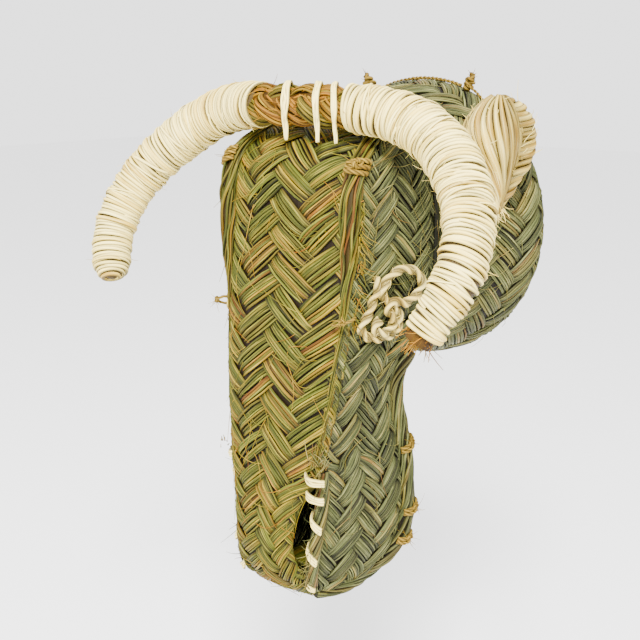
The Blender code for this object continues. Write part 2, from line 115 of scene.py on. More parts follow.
# ---- how the trimmings lie ----
# Each stitch of a lip: share of the lip's length, half of its arc, climb along the lip, and,
# on the left side only, shift forwards and factor on the radius it winds round.
LIP_STITCHES = (
    (0.03, 1.30, 0.0008, 0.0035, 1.55), (0.14, 1.25, 0.0010, 0.0030, 1.50),
    (0.32, 1.10, 0.0048, 0.0000, 1.15), (0.58, 1.10, 0.0052, -0.0015, 1.10),
    (0.95, 1.00, 0.0040, -0.0025, 1.00),
)
BAR_FACING = (0.0, -0.72, 0.69)
WALL_CORD_OUT = 0.006

# ---- how densely the outlines are sampled ----
PER_POINT = 16
RIDGE_LAST = 11
CHEEK_LAST = 10

# ---- how strands are drawn ----
STRIP_FILL = 0.94  # share of its strip in the texture layout that a strand takes
MARGIN_U = 0.005  # free edge of the texture layout across the strips
MARGIN_V = 0.01  # free edge of the texture layout along the strips
FIBRE_SHIFT = 0.37  # how far the fibre pattern moves from one strand to the next
SLEEVE_SIDES = 20  # rings of this many points or more are sheets and sleeves
BLADE_STEP = 0.0031  # distance between the rings of a plaited blade


class Side(Enum):
    """A side of the animal, its own left being +X."""

    LEFT = 1.0
    RIGHT = -1.0

    @property
    def word(self) -> str:
        """The side's name as node names spell it."""
        return self.name.lower()

    def place(self, points: Array) -> Array:
        """Points of the left half moved to this side."""
        return np.asarray(points, float) * np.array((self.value, 1.0, 1.0))


class Slot(Enum):
    """Material slots of the record."""

    FACE = "plait_face"
    CHEEK = "plait_side"
    BAR = "plait_bar"
    RAFFIA = "raffia"
    TWINE = "twine"


# ---------------------------------------------------------------- curves and noise
def unit(vectors: Array) -> Array:
    """Vectors scaled to length one."""
    return vectors / np.maximum(np.linalg.norm(vectors, axis=-1, keepdims=True), 1e-12)


def smooth(points, count: int) -> Array:
    """A natural cubic through the points, evenly spaced in its parameter.

    Args:
        points: Knots, one row each.
        count: Number of points wanted.

    Returns:
        Array of count rows.
    """
    knots = np.asarray(points, float)
    last = len(knots) - 1
    system = np.eye(last + 1)
    inner = np.arange(1, last)
    system[inner, inner - 1] = system[inner, inner + 1] = 1.0
    system[inner, inner] = 4.0
    right = np.zeros_like(knots)
    right[1:-1] = 6.0 * (knots[:-2] - 2.0 * knots[1:-1] + knots[2:])
    bend = np.linalg.solve(system, right)
    place = np.linspace(0.0, last, count)
    low = np.minimum(place.astype(int), last - 1)
    t = (place - low)[:, None]
    s = 1.0 - t
    return (s * knots[low] + t * knots[low + 1]
            + ((s**3 - s) * bend[low] + (t**3 - t) * bend[low + 1]) / 6.0)


def lengths(route: Array) -> Array:
    """Distance along a route at each of its points."""
    steps = np.linalg.norm(np.diff(route, axis=0), axis=1)
    return np.concatenate(([0.0], np.cumsum(steps)))


def read_off(place: Array, far: Array, curve: Array) -> Array:
    """Rows of a curve, which belong to the distances far, at the distances place."""
    return np.stack([np.interp(place, far, curve[:, i]) for i in range(3)], -1)


def even(route: Array, count: int) -> Array:
    """A route resampled at even distances."""
    far = lengths(route)
    return read_off(np.linspace(0.0, far[-1], count), far, route)


def soften(route: Array, reach: int) -> Array:
    """Rounds the corners of a route by a moving average with a bell-shaped weight.

    Args:
        route: Points along the route.
        reach: Number of points averaged each way.

    Returns:
        Array of the same shape, with the same ends.
    """
    padded = np.pad(route, ((reach, reach), (0, 0)), "reflect", reflect_type="odd")
    weights = np.hanning(2 * reach + 3)[1:-1]
    weights = weights / weights.sum()
    return np.stack([np.convolve(padded[:, i], weights, "valid") for i in range(3)], -1)


def dice_for(name: str) -> np.random.Generator:
    """A random generator that depends only on the name."""
    return np.random.default_rng(zlib.crc32(name.encode()))


def jitter(dice: np.random.Generator, *shape: int) -> Array:
    """Normally spread random numbers of unit size."""
    return dice.normal(0.0, 1.0, shape)


def wander(dice: np.random.Generator, count: int, place: Array, wave: float) -> Array:
    """Smooth random drift: three sines of nearby wavelength with random phases.

    Args:
        dice: Random generator.
        count: Number of separate drifts.
        place: Positions, one row shared by all or one row each.
        wave: Typical wavelength, in the unit of place.

    Returns:
        Array of count rows, of about unit size.
    """
    waves = wave * dice.uniform(0.6, 1.7, (count, 1, 3))
    phases = dice.uniform(0.0, TAU, (count, 1, 3))
    rows = np.atleast_2d(place)[..., None]
    return np.sin(TAU * rows / waves + phases).sum(-1) / 1.7


def ease(value: Array) -> Array:
    """A smooth step from 0 to 1."""
    t = np.clip(value, 0.0, 1.0)
    return t * t * (3.0 - 2.0 * t)


def frames(route: Array, reference) -> tuple[Array, Array]:
    """Two unit vectors square to a route and to each other.

    Args:
        route: Points along the route.
        reference: Direction, or one for each point, that the first vector is nearest to.

    Returns:
        The first and the second vector at each point.
    """
    along = unit(np.gradient(route, axis=0))
    toward = np.broadcast_to(np.asarray(reference, float), route.shape)
    first = unit(toward - (toward * along).sum(-1, keepdims=True) * along)
    return first, np.cross(along, first)


def spin(angle: Array, first: Array, second: Array) -> Array:
    """Directions at an angle from a first direction towards a second one."""
    return np.cos(angle)[..., None] * first + np.sin(angle)[..., None] * second


# ---------------------------------------------------------------- outline of the head
def collar_x(z: float) -> float:
    """Half width of the head-to-neck outline at height z."""
    left = 1.0 - (abs(z) / COLLAR_B) ** COLLAR_N
    return COLLAR_A * max(left, 0.0) ** (1.0 / COLLAR_N)


def collar_outline(angles: Array) -> Array:
    """The head-to-neck outline, a rounded rectangle: |x/A|^N + |z/B|^N = 1.

    Args:
        angles: Angles from +X towards +Z.

    Returns:
        Radii at those angles.
    """
    c = np.abs(np.cos(angles)) / COLLAR_A
    s = np.abs(np.sin(angles)) / COLLAR_B
    return (c**COLLAR_N + s**COLLAR_N) ** (-1.0 / COLLAR_N)


def neck_radius(share: Array, angles: Array) -> Array:
    """Neck radius from the seam (share 0) to the wall (share 1)."""
    front = collar_outline(angles)
    return front + (RIM_R - front) * np.sin(0.5 * math.pi * np.minimum(share, 1.0))


def cheek_z(number: int) -> float:
    """Height of one of the outline points between the brow and the turn of the nose."""
    low = CHIN_Z + NOSE_TURN
    return BROW_LOW_Z + (low - BROW_LOW_Z) * (0.0, 0.245, 0.462, 0.734, 1.0)[number]


def ridge() -> Array:
    """Front corner of the head.

    Returns:
        Points of the left side from crown to chin, PER_POINT rows to each outline point.
    """
    middle_y = 0.5 * (BROW_Y + NOSE_Y)
    return smooth((
        (CROWN_HALF, SEAM_Y - COLLAR_SEAM_R - GAP, CROWN_Z),
        (CROWN_HALF + 0.003, BROW_Y + 0.035, CROWN_Z - 0.004),
        (BROW_HALF - 0.001, BROW_Y + 0.012, CROWN_Z - 0.017),
        (BROW_HALF, BROW_Y, 0.036),
        (BROW_HALF, BROW_Y - 0.003, cheek_z(0)),
        (BROW_HALF - 0.002, BROW_Y - 0.007, cheek_z(1)),
        (BROW_HALF - 0.006, middle_y, cheek_z(2)),
        (NOSE_HALF + 0.007, NOSE_Y + 0.006, cheek_z(3)),
        (NOSE_HALF, NOSE_Y, cheek_z(4)),
        (NOSE_HALF - 0.002, NOSE_Y + 0.004, CHIN_Z + 0.018),
        (NOSE_HALF - 0.007, NOSE_Y + 0.021, CHIN_Z),
        (NOSE_HALF - 0.010, NOSE_Y + 0.046, CHIN_Z + 0.001),
    ), RIDGE_LAST * PER_POINT + 1)


def back_corner() -> Array:
    """Rear edge of the cheek.

    Returns:
        Points of the left side from crown to chin, row by row with ridge().
    """
    back, half = MUZZLE_BACK_Y, MUZZLE_BACK_HALF
    heights = (CROWN_Z - 0.002, CROWN_Z - 0.006, CROWN_Z - 0.015, 0.038, cheek_z(0), cheek_z(1))
    rows = [(collar_x(z), SEAM_Y, z) for z in heights]
    rows += [
        (half - 0.003, back - 0.011, cheek_z(2)),
        (half - 0.001, back - 0.004, cheek_z(3)),
        (half, back, cheek_z(4)),
        (half - 0.006, back - 0.006, CHIN_Z + 0.016),
        (half - 0.017, back - 0.024, CHIN_Z),
    ]
    return smooth(rows, CHEEK_LAST * PER_POINT + 1)


RIDGE = ridge()
BACK = back_corner()
CHEEK_ROWS = len(BACK)


def roll_radius(rows: Array) -> Array:
    """Radius of the front corner roll by row, slimmer over the crown."""
    return np.interp(rows / PER_POINT, (2.0, 3.0), (CROWN_ROLL_R, ROLL_R))


def roll_share(z: Array) -> Array:
    """1 where the front corner roll is full, down to 0 where the plaits meet over it."""
    return ease((z + 0.055) / 0.075)


def lip_offset(z: Array) -> Array:
    """Distance of the lip's centre line behind the front corner, at heights z."""
    along = np.clip((MOUTH_TOP_Z - z) / (MOUTH_TOP_Z - MOUTH_BOTTOM_Z), 0.0, 1.0)
    return LIP_R + MOUTH_OPEN * np.sin(math.pi * along)


def slant(run: Array, edge: Array) -> Array:
    """Sine of the angle at which rows with directions run meet an edge."""
    return np.linalg.norm(np.cross(run, unit(np.gradient(edge, axis=0))), axis=1)


def cheek_point(y: Array, z: Array, lift) -> Array:
    """Points of the left cheek: straight from corner to corner, with a parabolic bulge.

    Args:
        y: Places towards the wall.
        z: Heights.
        lift: Distance outwards from the cheek.

    Returns:
        Array of points, one row each.
    """
    first = 2 * PER_POINT
    front = np.stack([np.interp(-z, -RIDGE[first:CHEEK_ROWS, 2], RIDGE[first:CHEEK_ROWS, i])
                      for i in range(2)], -1)
    back = np.stack([np.interp(-z, -BACK[first:, 2], BACK[first:, i]) for i in range(2)], -1)
    run = back - front
    share = (y - front[:, 1]) / run[:, 1]
    out = unit(np.stack((run[:, 1], -run[:, 0]), -1))
    rise = CHEEK_BULGE * 4.0 * share * (1.0 - share) + lift
    flat = front + share[:, None] * run + rise[:, None] * out
    return np.stack((flat[:, 0], flat[:, 1], z), -1)


def horn_route(count: int) -> Array:
    """Centre line of the left half of the bar and horn, evenly spaced along itself."""
    return even(smooth(HORN_ROUTE, 400), count)


# ---------------------------------------------------------------- pieces
def ring_turn(sides: int) -> Array:
    """Angles of a ring's points from its wide axis, starting at the underside."""
    return TAU * (np.arange(sides) / sides) - 0.5 * math.pi


def strand_rings(centres: Array, normals: Array, half_width, half_height,
                 sides: int = 6) -> Array:
    """Elliptical rings along many paths at once.

    The ring lies square to the path: its wide axis is the cross product of the surface
    normal and the path's direction, its narrow axis is square to both.

    Args:
        centres: Paths, (strands, steps, 3).
        normals: Outward surface directions of the same shape.
        half_width: Half of the strand's width, a number or (strands, steps).
        half_height: Half of its thickness, likewise.
        sides: Points per ring, an even number.

    Returns:
        Rings, (strands, steps, sides, 3).
    """
    along = unit(np.gradient(centres, axis=1))
    wide = unit(np.cross(normals, along))
    high = np.cross(along, wide)
    turn = ring_turn(sides)
    shape = centres.shape[:2]
    width = np.broadcast_to(half_width, shape)[..., None, None]
    height = np.broadcast_to(half_height, shape)[..., None, None]
    return (centres[:, :, None] + width * np.cos(turn)[:, None] * wide[:, :, None]
            + height * np.sin(turn)[:, None] * high[:, :, None])


@dataclass
class Piece:
    """One visible object, gathered from batches of closed strands.

    Attributes:
        name: Object name.
        slot: The record's material slot.
        nodes: Solid nodes that the piece stands for.
        points: Batches of points.
        quads: Batches of faces, four point numbers each.
        looks: Batches of the values that the finish reads.
        fibre: Batches of fibre coordinates.
        layout: Batches of texture coordinates, a strip to each strand.
        room: Width of the strips so far.
        strands: Number of strands so far.
    """

    name: str
    slot: Slot
    nodes: tuple[str, ...]
    points: list[Array] = field(default_factory=list)
    quads: list[Array] = field(default_factory=list)
    looks: list[Array] = field(default_factory=list)
    fibre: list[Array] = field(default_factory=list)
    layout: list[Array] = field(default_factory=list)
    room: float = 0.0
    strands: int = 0

    def add(self, rings: Array, tone=0.5, shade=0.6, depth=1.0, cyclic: bool = False,
            weight: float = 1.0) -> None:
        """Adds a batch of strands.

        Args:
            rings: (strands, steps, sides, 3) points.
            tone: Hue of the strand from its young to its dry colour, 0 to 1.
            shade: Lightness, 0 to 1.
            depth: 0 where the strand lies under others, 1 on top; the finish darkens low depth as
                painted shade.
            cyclic: Whether each strand closes on itself.
            weight: Width of each strand's strip in the texture layout.
        """
        count, steps, sides, _ = rings.shape
        start = sum(len(p) for p in self.points)
        index = start + np.arange(count * steps * sides).reshape(count, steps, sides)
        ahead = np.roll(index, -1, axis=1) if cyclic else index[:, 1:]
        here = index if cyclic else index[:, :-1]
        body = np.stack((here, np.roll(here, -1, 2), np.roll(ahead, -1, 2), ahead), -1)
        spans = body.shape[1]
        left = (self.room + weight * np.arange(count))[:, None, None]
        round_low = STRIP_FILL * weight * np.arange(sides) / sides + left
        round_high = round_low + STRIP_FILL * weight / sides
        low = np.broadcast_to((np.arange(spans) / spans)[None, :, None], body.shape[:3])
        high = low + 1.0 / spans
        u_low, u_high = (np.broadcast_to(v, body.shape[:3]) for v in (round_low, round_high))
        strips = np.stack((np.stack((u_low, low), -1), np.stack((u_high, low), -1),
                           np.stack((u_high, high), -1), np.stack((u_low, high), -1)), -2)
        self.quads.append(body.reshape(-1, 4))
        self.layout.append(strips.reshape(-1, 4, 2))
        if not cyclic:
            k = np.arange(sides // 2 - 1)
            rungs = np.stack((k, k + 1, sides - 2 - k, sides - 1 - k), -1)
            for ring, rung, v in ((index[:, 0], rungs[:, ::-1], 0.0), (index[:, -1], rungs, 1.0)):
                self.quads.append(ring[:, rung].reshape(-1, 4))
                flat = np.empty((count, len(rungs), 4, 2))
                flat[..., 0] = left + STRIP_FILL * weight * rung / sides
                flat[..., 1] = v
                self.layout.append(flat.reshape(-1, 4, 2))
        self.points.append(rings.reshape(-1, 3))
        self.mark(rings, tone, shade, depth)
        self.room += weight * count
        self.strands += count

    def mark(self, rings: Array, tone, shade, depth) -> None:
        """Stores what the finish reads at each point of a batch.

        The looks are hue, lightness, depth and nearness to the strand's thin edge; the finish
        paints shade by the depth and the edge. The fibre coordinates are the distances round and
        along the strand, and its number.

        Args:
            rings: (strands, steps, sides, 3) points.
            tone: Hue of the strand.
            shade: Its lightness.
            depth: Its depth, which the finish turns into painted shade.
        """
        count, steps, sides, _ = rings.shape
        shape = (count, steps, sides)
        marks = [np.broadcast_to(np.asarray(v, float)[..., None] if np.ndim(v) else v, shape)
                 for v in (tone, shade, depth)]
        edge = np.abs(np.cos(ring_turn(sides))) if sides < SLEEVE_SIDES else 0.0
        marks.append(np.broadcast_to(edge, shape))
        self.looks.append(np.stack(marks, -1).reshape(-1, 4))
        centre = rings.mean(axis=2)
        far = np.concatenate((np.zeros((count, 1)), np.cumsum(
            np.linalg.norm(np.diff(centre, axis=1), axis=2), axis=1)), axis=1)
        side = np.linalg.norm(np.roll(rings, -1, 2) - rings, axis=3).mean(axis=1, keepdims=True)
        girth = np.cumsum(side, axis=2) - side
        which = self.strands + np.arange(count)[:, None, None]
        self.fibre.append(np.stack(np.broadcast_arrays(
            girth, far[:, :, None], FIBRE_SHIFT * which), -1).reshape(-1, 3))

    def build(self) -> bpy.types.Object:
        """Makes the object, gives it its slot's finish and registers it with the frame.

        Returns:
            The new object.
        """
        points = np.concatenate(self.points)
        quads = np.concatenate(self.quads)
        data = bpy.data.meshes.new(self.name)
        data.vertices.add(len(points))
        data.vertices.foreach_set("co", points.ravel())
        data.loops.add(quads.size)
        data.loops.foreach_set("vertex_index", quads.ravel().astype(np.int32))
        data.polygons.add(len(quads))
        data.polygons.foreach_set("loop_start", np.arange(0, quads.size, 4, dtype=np.int32))
        data.polygons.foreach_set("use_smooth", np.ones(len(quads), bool))
        looks = data.attributes.new("looks", "FLOAT_COLOR", "POINT")
        looks.data.foreach_set("color", np.concatenate(self.looks).ravel())
        fibre = data.attributes.new("fibre", "FLOAT_VECTOR", "POINT")
        fibre.data.foreach_set("vector", np.concatenate(self.fibre).ravel())
        layout = np.concatenate(self.layout)
        layout[..., 0] = MARGIN_U + (1.0 - 2.0 * MARGIN_U) * layout[..., 0] / self.room
        layout[..., 1] = MARGIN_V + (1.0 - 2.0 * MARGIN_V) * layout[..., 1]
        data.uv_layers.new(name="OFBake").data.foreach_set("uv", layout.ravel())
        data.update(calc_edges=True)
        data.validate()
        item = bpy.data.objects.new(self.name, data)
        bpy.context.scene.collection.objects.link(item)
        data.materials.append(FINISHES[self.slot].material())
        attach(item, "root")
        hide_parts(*self.nodes)
        log.info("%s: %d strands, %d faces", self.name, self.strands, len(quads))
        return item


@dataclass
class Patch:
    """A curved surface sampled on a grid: rows run along a band, columns across it.

    Attributes:
        grid: (rows, columns, 3) points.
        outward: 1 or -1, the side of the grid that faces out.
    """

    grid: Array
    outward: float = 1.0

    def __post_init__(self) -> None:
        """Works out normals, row distances and widths."""
        down, across = np.gradient(self.grid, axis=0), np.gradient(self.grid, axis=1)
        self.normals = self.outward * unit(np.cross(down, across))
        self.both = np.concatenate((self.grid, self.normals), -1)
        self.far = lengths(self.grid[:, self.grid.shape[1] // 2])
        self.width = np.linalg.norm(np.diff(self.grid, axis=1), axis=2).sum(1)

    def at(self, u: Array, v: Array) -> tuple[Array, Array]:
        """Points and outward directions.

        Args:
            u: Place across, -1 to 1.
            v: Share of the rows, 0 to 1.

        Returns:
            Points and unit normals, each with a last axis of 3.
        """
        rows, columns = self.grid.shape[:2]
        u, v = np.broadcast_arrays(u, v)
        column = np.clip(0.5 * (u + 1.0), 0.0, 1.0) * (columns - 1)
        row = np.clip(v, 0.0, 1.0) * (rows - 1)
        c = np.minimum(column.astype(int), columns - 2)
        r = np.minimum(row.astype(int), rows - 2)
        s, t = (column - c)[..., None], (row - r)[..., None]
        both = ((1.0 - t) * ((1.0 - s) * self.both[r, c] + s * self.both[r, c + 1])
                + t * ((1.0 - s) * self.both[r + 1, c] + s * self.both[r + 1, c + 1]))
        return both[..., :3], unit(both[..., 3:])

    def sheet_rings(self, inset: float, thickness: float, rows: int = 70) -> Array:
        """A thin closed sheet under the surface, as one wide strand, for painted shade between the
        bundles.

        Args:
            inset: Depth of its middle under the surface.
            thickness: Thickness of the sheet.
            rows: Number of rings.

        Returns:
            Rings of one strand.
        """
        columns = 15
        points, normals = self.at(np.linspace(-1.0, 1.0, columns)[None, :],
                                  np.linspace(0.0, 1.0, rows)[:, None])
        top = points - (inset - 0.5 * thickness) * normals
        low = points - (inset + 0.5 * thickness) * normals
        order = -1 if self.outward > 0 else 1
        ring = np.concatenate((top[:, ::order], low[:, ::-order]), axis=1)
        return ring[None]


@dataclass(frozen=True)
class Plait:
    """A two-over-two-under band plait of flat bundles of grass blades.

    Attributes:
        columns: Columns of floats across the band.
        pitch: Distance between bundles along the band, where it is widest.
        blades: Blades in a bundle.
        half: Half width of a blade.
        thick: Half thickness of a blade.
        rise: Height of a float above the band's middle layer.
        squeeze: How far the pitch shrinks with the band's width, 0 to 1.
        inset: Depth of the middle layer under the surface.
        tone: Average hue of the grass.
        spread: How far hues differ.
        fibres: Number of loose fibres.
        fill: Share of the pitch that a bundle takes.
        gather: How far a bundle narrows where it dives, 0 to 1.
        rounding: Sharpness of the blades' turns at the band's edges, 0 to 1.
        steep: Sharpness of the step from over to under.
        crown: Height of a bundle's middle above its sides.
    """

    columns: int = 4
    pitch: float = 0.0225
    blades: int = 8
    half: float = 0.00102
    thick: float = 0.00085
    rise: float = 0.0016
    squeeze: float = 0.6
    inset: float = 0.0016
    tone: float = 0.35
    spread: float = 0.22
    fibres: int = 60
    fill: float = 0.955
    gather: float = 0.11
    rounding: float = 0.985
    steep: float = 2.2
    crown: float = 0.00045

    def weave(self, piece: Piece, patch: Patch, ring_pitches: int = 0) -> None:
        """Plaits the band over a patch.

        Each blade zigzags between the band's edges. A bundle lies over the two bundles of
        the other direction that it meets first and under the next two, so its height
        follows a rounded square wave of the distance to its own line, counted in bundles.
        The blades are placed twice, because how close they lie depends on where they dive.

        Args:
            piece: Piece that takes the strands.
            patch: Surface of the band.
            ring_pitches: Number of pitches round a band that closes on itself, else 0.
        """
        dice = dice_for(piece.name)
        widest = patch.width.max()
        growth = (widest / patch.width) ** self.squeeze
        steps = np.diff(patch.far) * 0.5 * (growth[1:] + growth[:-1])
        warped = np.concatenate(([0.0], np.cumsum(steps)))
        total = warped[-1]
        pitch = total / ring_pitches if ring_pitches else self.pitch
        crossing = self.columns * pitch
        count = int(total / BLADE_STEP)
        q = np.linspace(0.0, total, count)
        v = np.interp(q, warped, np.linspace(0.0, 1.0, len(warped)))
        scale = 1.0 / np.interp(q, warped, growth)

        bundle = np.repeat(np.arange(2 * self.columns), self.blades)
        blade = np.tile(np.arange(self.blades), 2 * self.columns) - 0.5 * (self.blades - 1)
        total_blades = len(bundle)
        angle = math.atan2(widest, crossing)
        spacing = self.fill * pitch / self.blades
        shift = blade * spacing + dice.normal(0.0, 0.0003, total_blades)
        first = bundle / self.columns
        drift = (0.0005 * wander(dice, total_blades, q, 0.07)
                 + 0.0010 * wander(dice, 2 * self.columns, q, 0.06)[bundle])
        narrow = 1.0
        for _ in range(2):
            x = (q[None, :] - narrow * shift[:, None] + drift) / crossing - first[:, None]
            u = np.arcsin(self.rounding * np.sin(math.pi * (x - 0.5))) / math.asin(self.rounding)
            lap = np.floor(x / 2.0)
            going = (x - 2.0 * lap) < 1.0
            own = self.columns * (first[:, None] + 2.0 * lap + np.where(going, 0.5, 1.5))
            place = q[None, :] / pitch
            lean = 0.5 * self.columns * u
            meet = np.where(going, place + lean - own, own - place + lean)
            wave = np.tanh(self.steep * np.cos(0.5 * math.pi * (meet - 0.5)))
            wave = wave / math.tanh(self.steep)
            narrow = 1.0 - self.gather * (1.0 - wave**2)
        over = wave * np.where(going, 1.0, -1.0) * ease((1.0 - np.abs(u)) / 0.07)
        arch = 1.0 - 1.6 * (blade / (0.5 * self.blades)) ** 2
        height = (self.rise * over + self.crown * over * arch[:, None]
                  + 0.00022 * wander(dice, total_blades, q, 0.05)
                  + dice.normal(0.0, 0.00016, (total_blades, 1)))
        points, normals = patch.at(u, np.broadcast_to(v, u.shape))
        centres = points + (height - self.inset)[..., None] * normals
        width = self.half * scale * dice.uniform(0.8, 1.18, (total_blades, 1))
        width = width * (1.0 + 0.12 * wander(dice, total_blades, q, 0.06))
        lie = normals + 0.35 * jitter(dice, total_blades, 1, 1) * unit(
            np.cross(normals, np.gradient(centres, axis=1)))
        tone = (self.tone + self.spread * (
            0.75 * jitter(dice, 2 * self.columns, 1)[bundle]
            + 0.9 * jitter(dice, total_blades, 1)
            + 0.55 * wander(dice, total_blades, q, 0.16)))
        shade = (0.50 + 0.24 * jitter(dice, total_blades, 1)
                 + 0.08 * wander(dice, total_blades, q, 0.09))
        # Blades that dive under others get less depth: painted shade.
        piece.add(strand_rings(centres, unit(lie), width, self.thick), tone,
                  np.clip(shade, 0.0, 1.0), 0.5 + 0.5 * over)
        # A dark sheet under the plait: painted shade seen between the bundles.
        piece.add(patch.sheet_rings(self.inset, 0.0004), 0.9, 0.0, 0.0, weight=4.0)
        self.shed(piece, patch, angle)

    def shed(self, piece: Piece, patch: Patch, angle: float) -> None:
        """Lays loose fibres over the band, roughly along its two directions.

        Args:
            piece: Piece that takes the fibres.
            patch: Surface of the band.
            angle: Angle of the bundles to the band's length.
        """
        dice = dice_for(piece.name + " fibres")
        count, steps = self.fibres, 10
        t = np.linspace(0.0, 1.0, steps)[None, :]
        size = dice.uniform(0.010, 0.040, (count, 1))
        heading = angle * dice.choice((-1.0, 1.0), (count, 1)) + dice.normal(0.0, 0.35, (count, 1))
        bend = dice.normal(0.0, 0.5, (count, 1))
        run = np.cumsum(np.broadcast_to(size / steps, (count, steps)), axis=1)
        turn = heading + bend * t
        v0 = dice.uniform(0.04, 0.92, (count, 1))
        u0 = dice.uniform(-0.9, 0.9, (count, 1))
        v = v0 + run * np.cos(turn) / patch.far[-1]
        wide = np.interp(v0, np.linspace(0.0, 1.0, len(patch.width)), patch.width)
        u = np.clip(u0 + 2.0 * run * np.sin(turn) / wide, -1.0, 1.0)
        points, normals = patch.at(u, v)
        lift = 0.0006 + dice.uniform(0.0003, 0.0040, (count, 1)) * t**2
        centres = points + lift[..., None] * normals
        thin = dice.uniform(0.00018, 0.00034, (count, 1)) * (1.0 - 0.6 * t)
        tone = np.broadcast_to(dice.uniform(0.4, 1.0, (count, 1)), u.shape)
        piece.add(strand_rings(centres, normals, thin, thin, 4), tone, 0.95, 1.0, weight=0.3)


@dataclass(frozen=True)
class Roll:
    """A bundle of blades laid along a route, a little twisted.

    Attributes:
        radius: Radius of the bundle.
        blades: Blades round its outside.
        turn: Length of one full twist.
        half: Half width of a blade.
        thick: Half thickness of a blade.
        tone: Average hue.
        spread: How far hues differ.
    """

    radius: float
    blades: int = 13
    turn: float = 0.22
    half: float = 0.0013
    thick: float = 0.0008
    tone: float = 0.4
    spread: float = 0.25

    def lay(self, piece: Piece, route: Array, reference, size=1.0, cyclic: bool = False,
            shade: float = 0.5, loose: float = 1.0) -> None:
        """Adds the bundle to a piece.

        Args:
            piece: Piece that takes the strands.
            route: Centre line.
            reference: Direction, or directions, that fix where the twist starts.
            size: Factor on the radius along the route.
            cyclic: Whether the route closes on itself.
            shade: Average lightness.
            loose: How far blades stray from their places.
        """
        dice = dice_for(f"{piece.name} {piece.strands}")
        far = lengths(route)
        first, second = frames(route, reference)
        twist = TAU * far / self.turn
        if cyclic:
            gap = far[-1] + np.linalg.norm(route[0] - route[-1])
            twist = TAU * round(gap / self.turn) * far / gap
        start = TAU * (np.arange(self.blades) + dice.uniform(-0.3, 0.3, self.blades))
        angle = start[:, None] / self.blades + twist
        spread = self.radius * np.broadcast_to(size, far.shape) - self.thick
        if not cyclic:
            angle = angle + 0.12 * loose * wander(dice, self.blades, far, 0.06)
            spread = spread * (1.0 + 0.06 * loose * wander(dice, self.blades, far, 0.05))
        spread = np.broadcast_to(spread, angle.shape)[..., None]
        out = spin(angle, first, second)
        centres = route + spread * out
        width = self.half * np.broadcast_to(size, far.shape) * dice.uniform(
            0.8, 1.2, (self.blades, 1))
        tone = self.tone + self.spread * (jitter(dice, self.blades, 1)
                                          + 0.5 * wander(dice, self.blades, far, 0.12))
        light = shade + 0.22 * jitter(dice, self.blades, 1) + 0.0 * far
        # Depth 0.85 darkens the blades a little, as painted shade.
        piece.add(strand_rings(centres, out, width, self.thick), tone,
                  np.clip(light, 0.0, 1.0), 0.85, cyclic)
        # A dark core inside the blades: painted shade in the gaps between them.
        core = strand_rings(route[None], first[None], 0.8 * spread[:1, :, 0],
                            0.8 * spread[:1, :, 0], 8)
        piece.add(core, 0.8, 0.12, 0.2, cyclic)


def hairs(piece: Piece, roots: Array, aims: Array, size: float, seed: str,
          thick: float = 0.0003, tone: float = 0.6) -> None:
    """Adds short bent fibres that stand out from given roots.

    Args:
        piece: Piece that takes them.
        roots: (count, 3) starting points.
        aims: (count, 3) unit directions.
        size: Typical length.
        seed: Name that fixes the randomness.
        thick: Half thickness at the root.
        tone: Average hue.
    """
    dice = dice_for(seed)
    count = len(roots)
    t = np.linspace(0.0, 1.0, 8)[None, :, None]
    reach = size * dice.uniform(0.5, 1.4, (count, 1, 1))
    stray = unit(jitter(dice, count, 1, 3))
    aim = unit(aims[:, None] + 0.35 * stray)
    curl = dice.normal(0.0, 0.3, (count, 1, 3))
    centres = roots[:, None] + reach * (t * aim + t**2 * curl)
    side = np.broadcast_to(unit(np.cross(aim, stray)), centres.shape)
    width = thick * (1.0 - 0.7 * t[..., 0]) * np.ones((count, 1))
    tones = np.broadcast_to(tone + 0.2 * jitter(dice, count, 1), width.shape)
    piece.add(strand_rings(centres, side, width, width, 4), tones, 0.85, 1.0, weight=0.25)


def cord(piece: Piece, route: Array, reference, radius: float, lay: float,
         plies: int = 2, shade: float = 0.7, tone: float = 0.45) -> None:
    """Adds a twisted cord: round plies that wind about a route.

    Args:
        piece: Piece that takes the plies.
        route: Centre line.
        reference: Direction that fixes where the twist starts.
        radius: Outer radius of the cord.
        lay: Length of one full twist.
        plies: Number of plies.
        shade: Average lightness.
        tone: Average hue.
    """
    dice = dice_for(f"{piece.name} {piece.strands} cord")
    far = lengths(route)
    first, second = frames(route, reference)
    angle = (TAU * np.arange(plies) / plies)[:, None] + TAU * far / lay
    out = spin(angle, first, second)
    ply = 0.56 * radius
    wobble = 1.0 + 0.10 * wander(dice, plies, far, 0.02)
    centres = route + (radius - ply) * out
    tones = tone + 0.12 * wander(dice, plies, far, 0.05)
    piece.add(strand_rings(centres, out, ply * wobble, ply * wobble * 0.95, 8), tones, shade, 1.0)


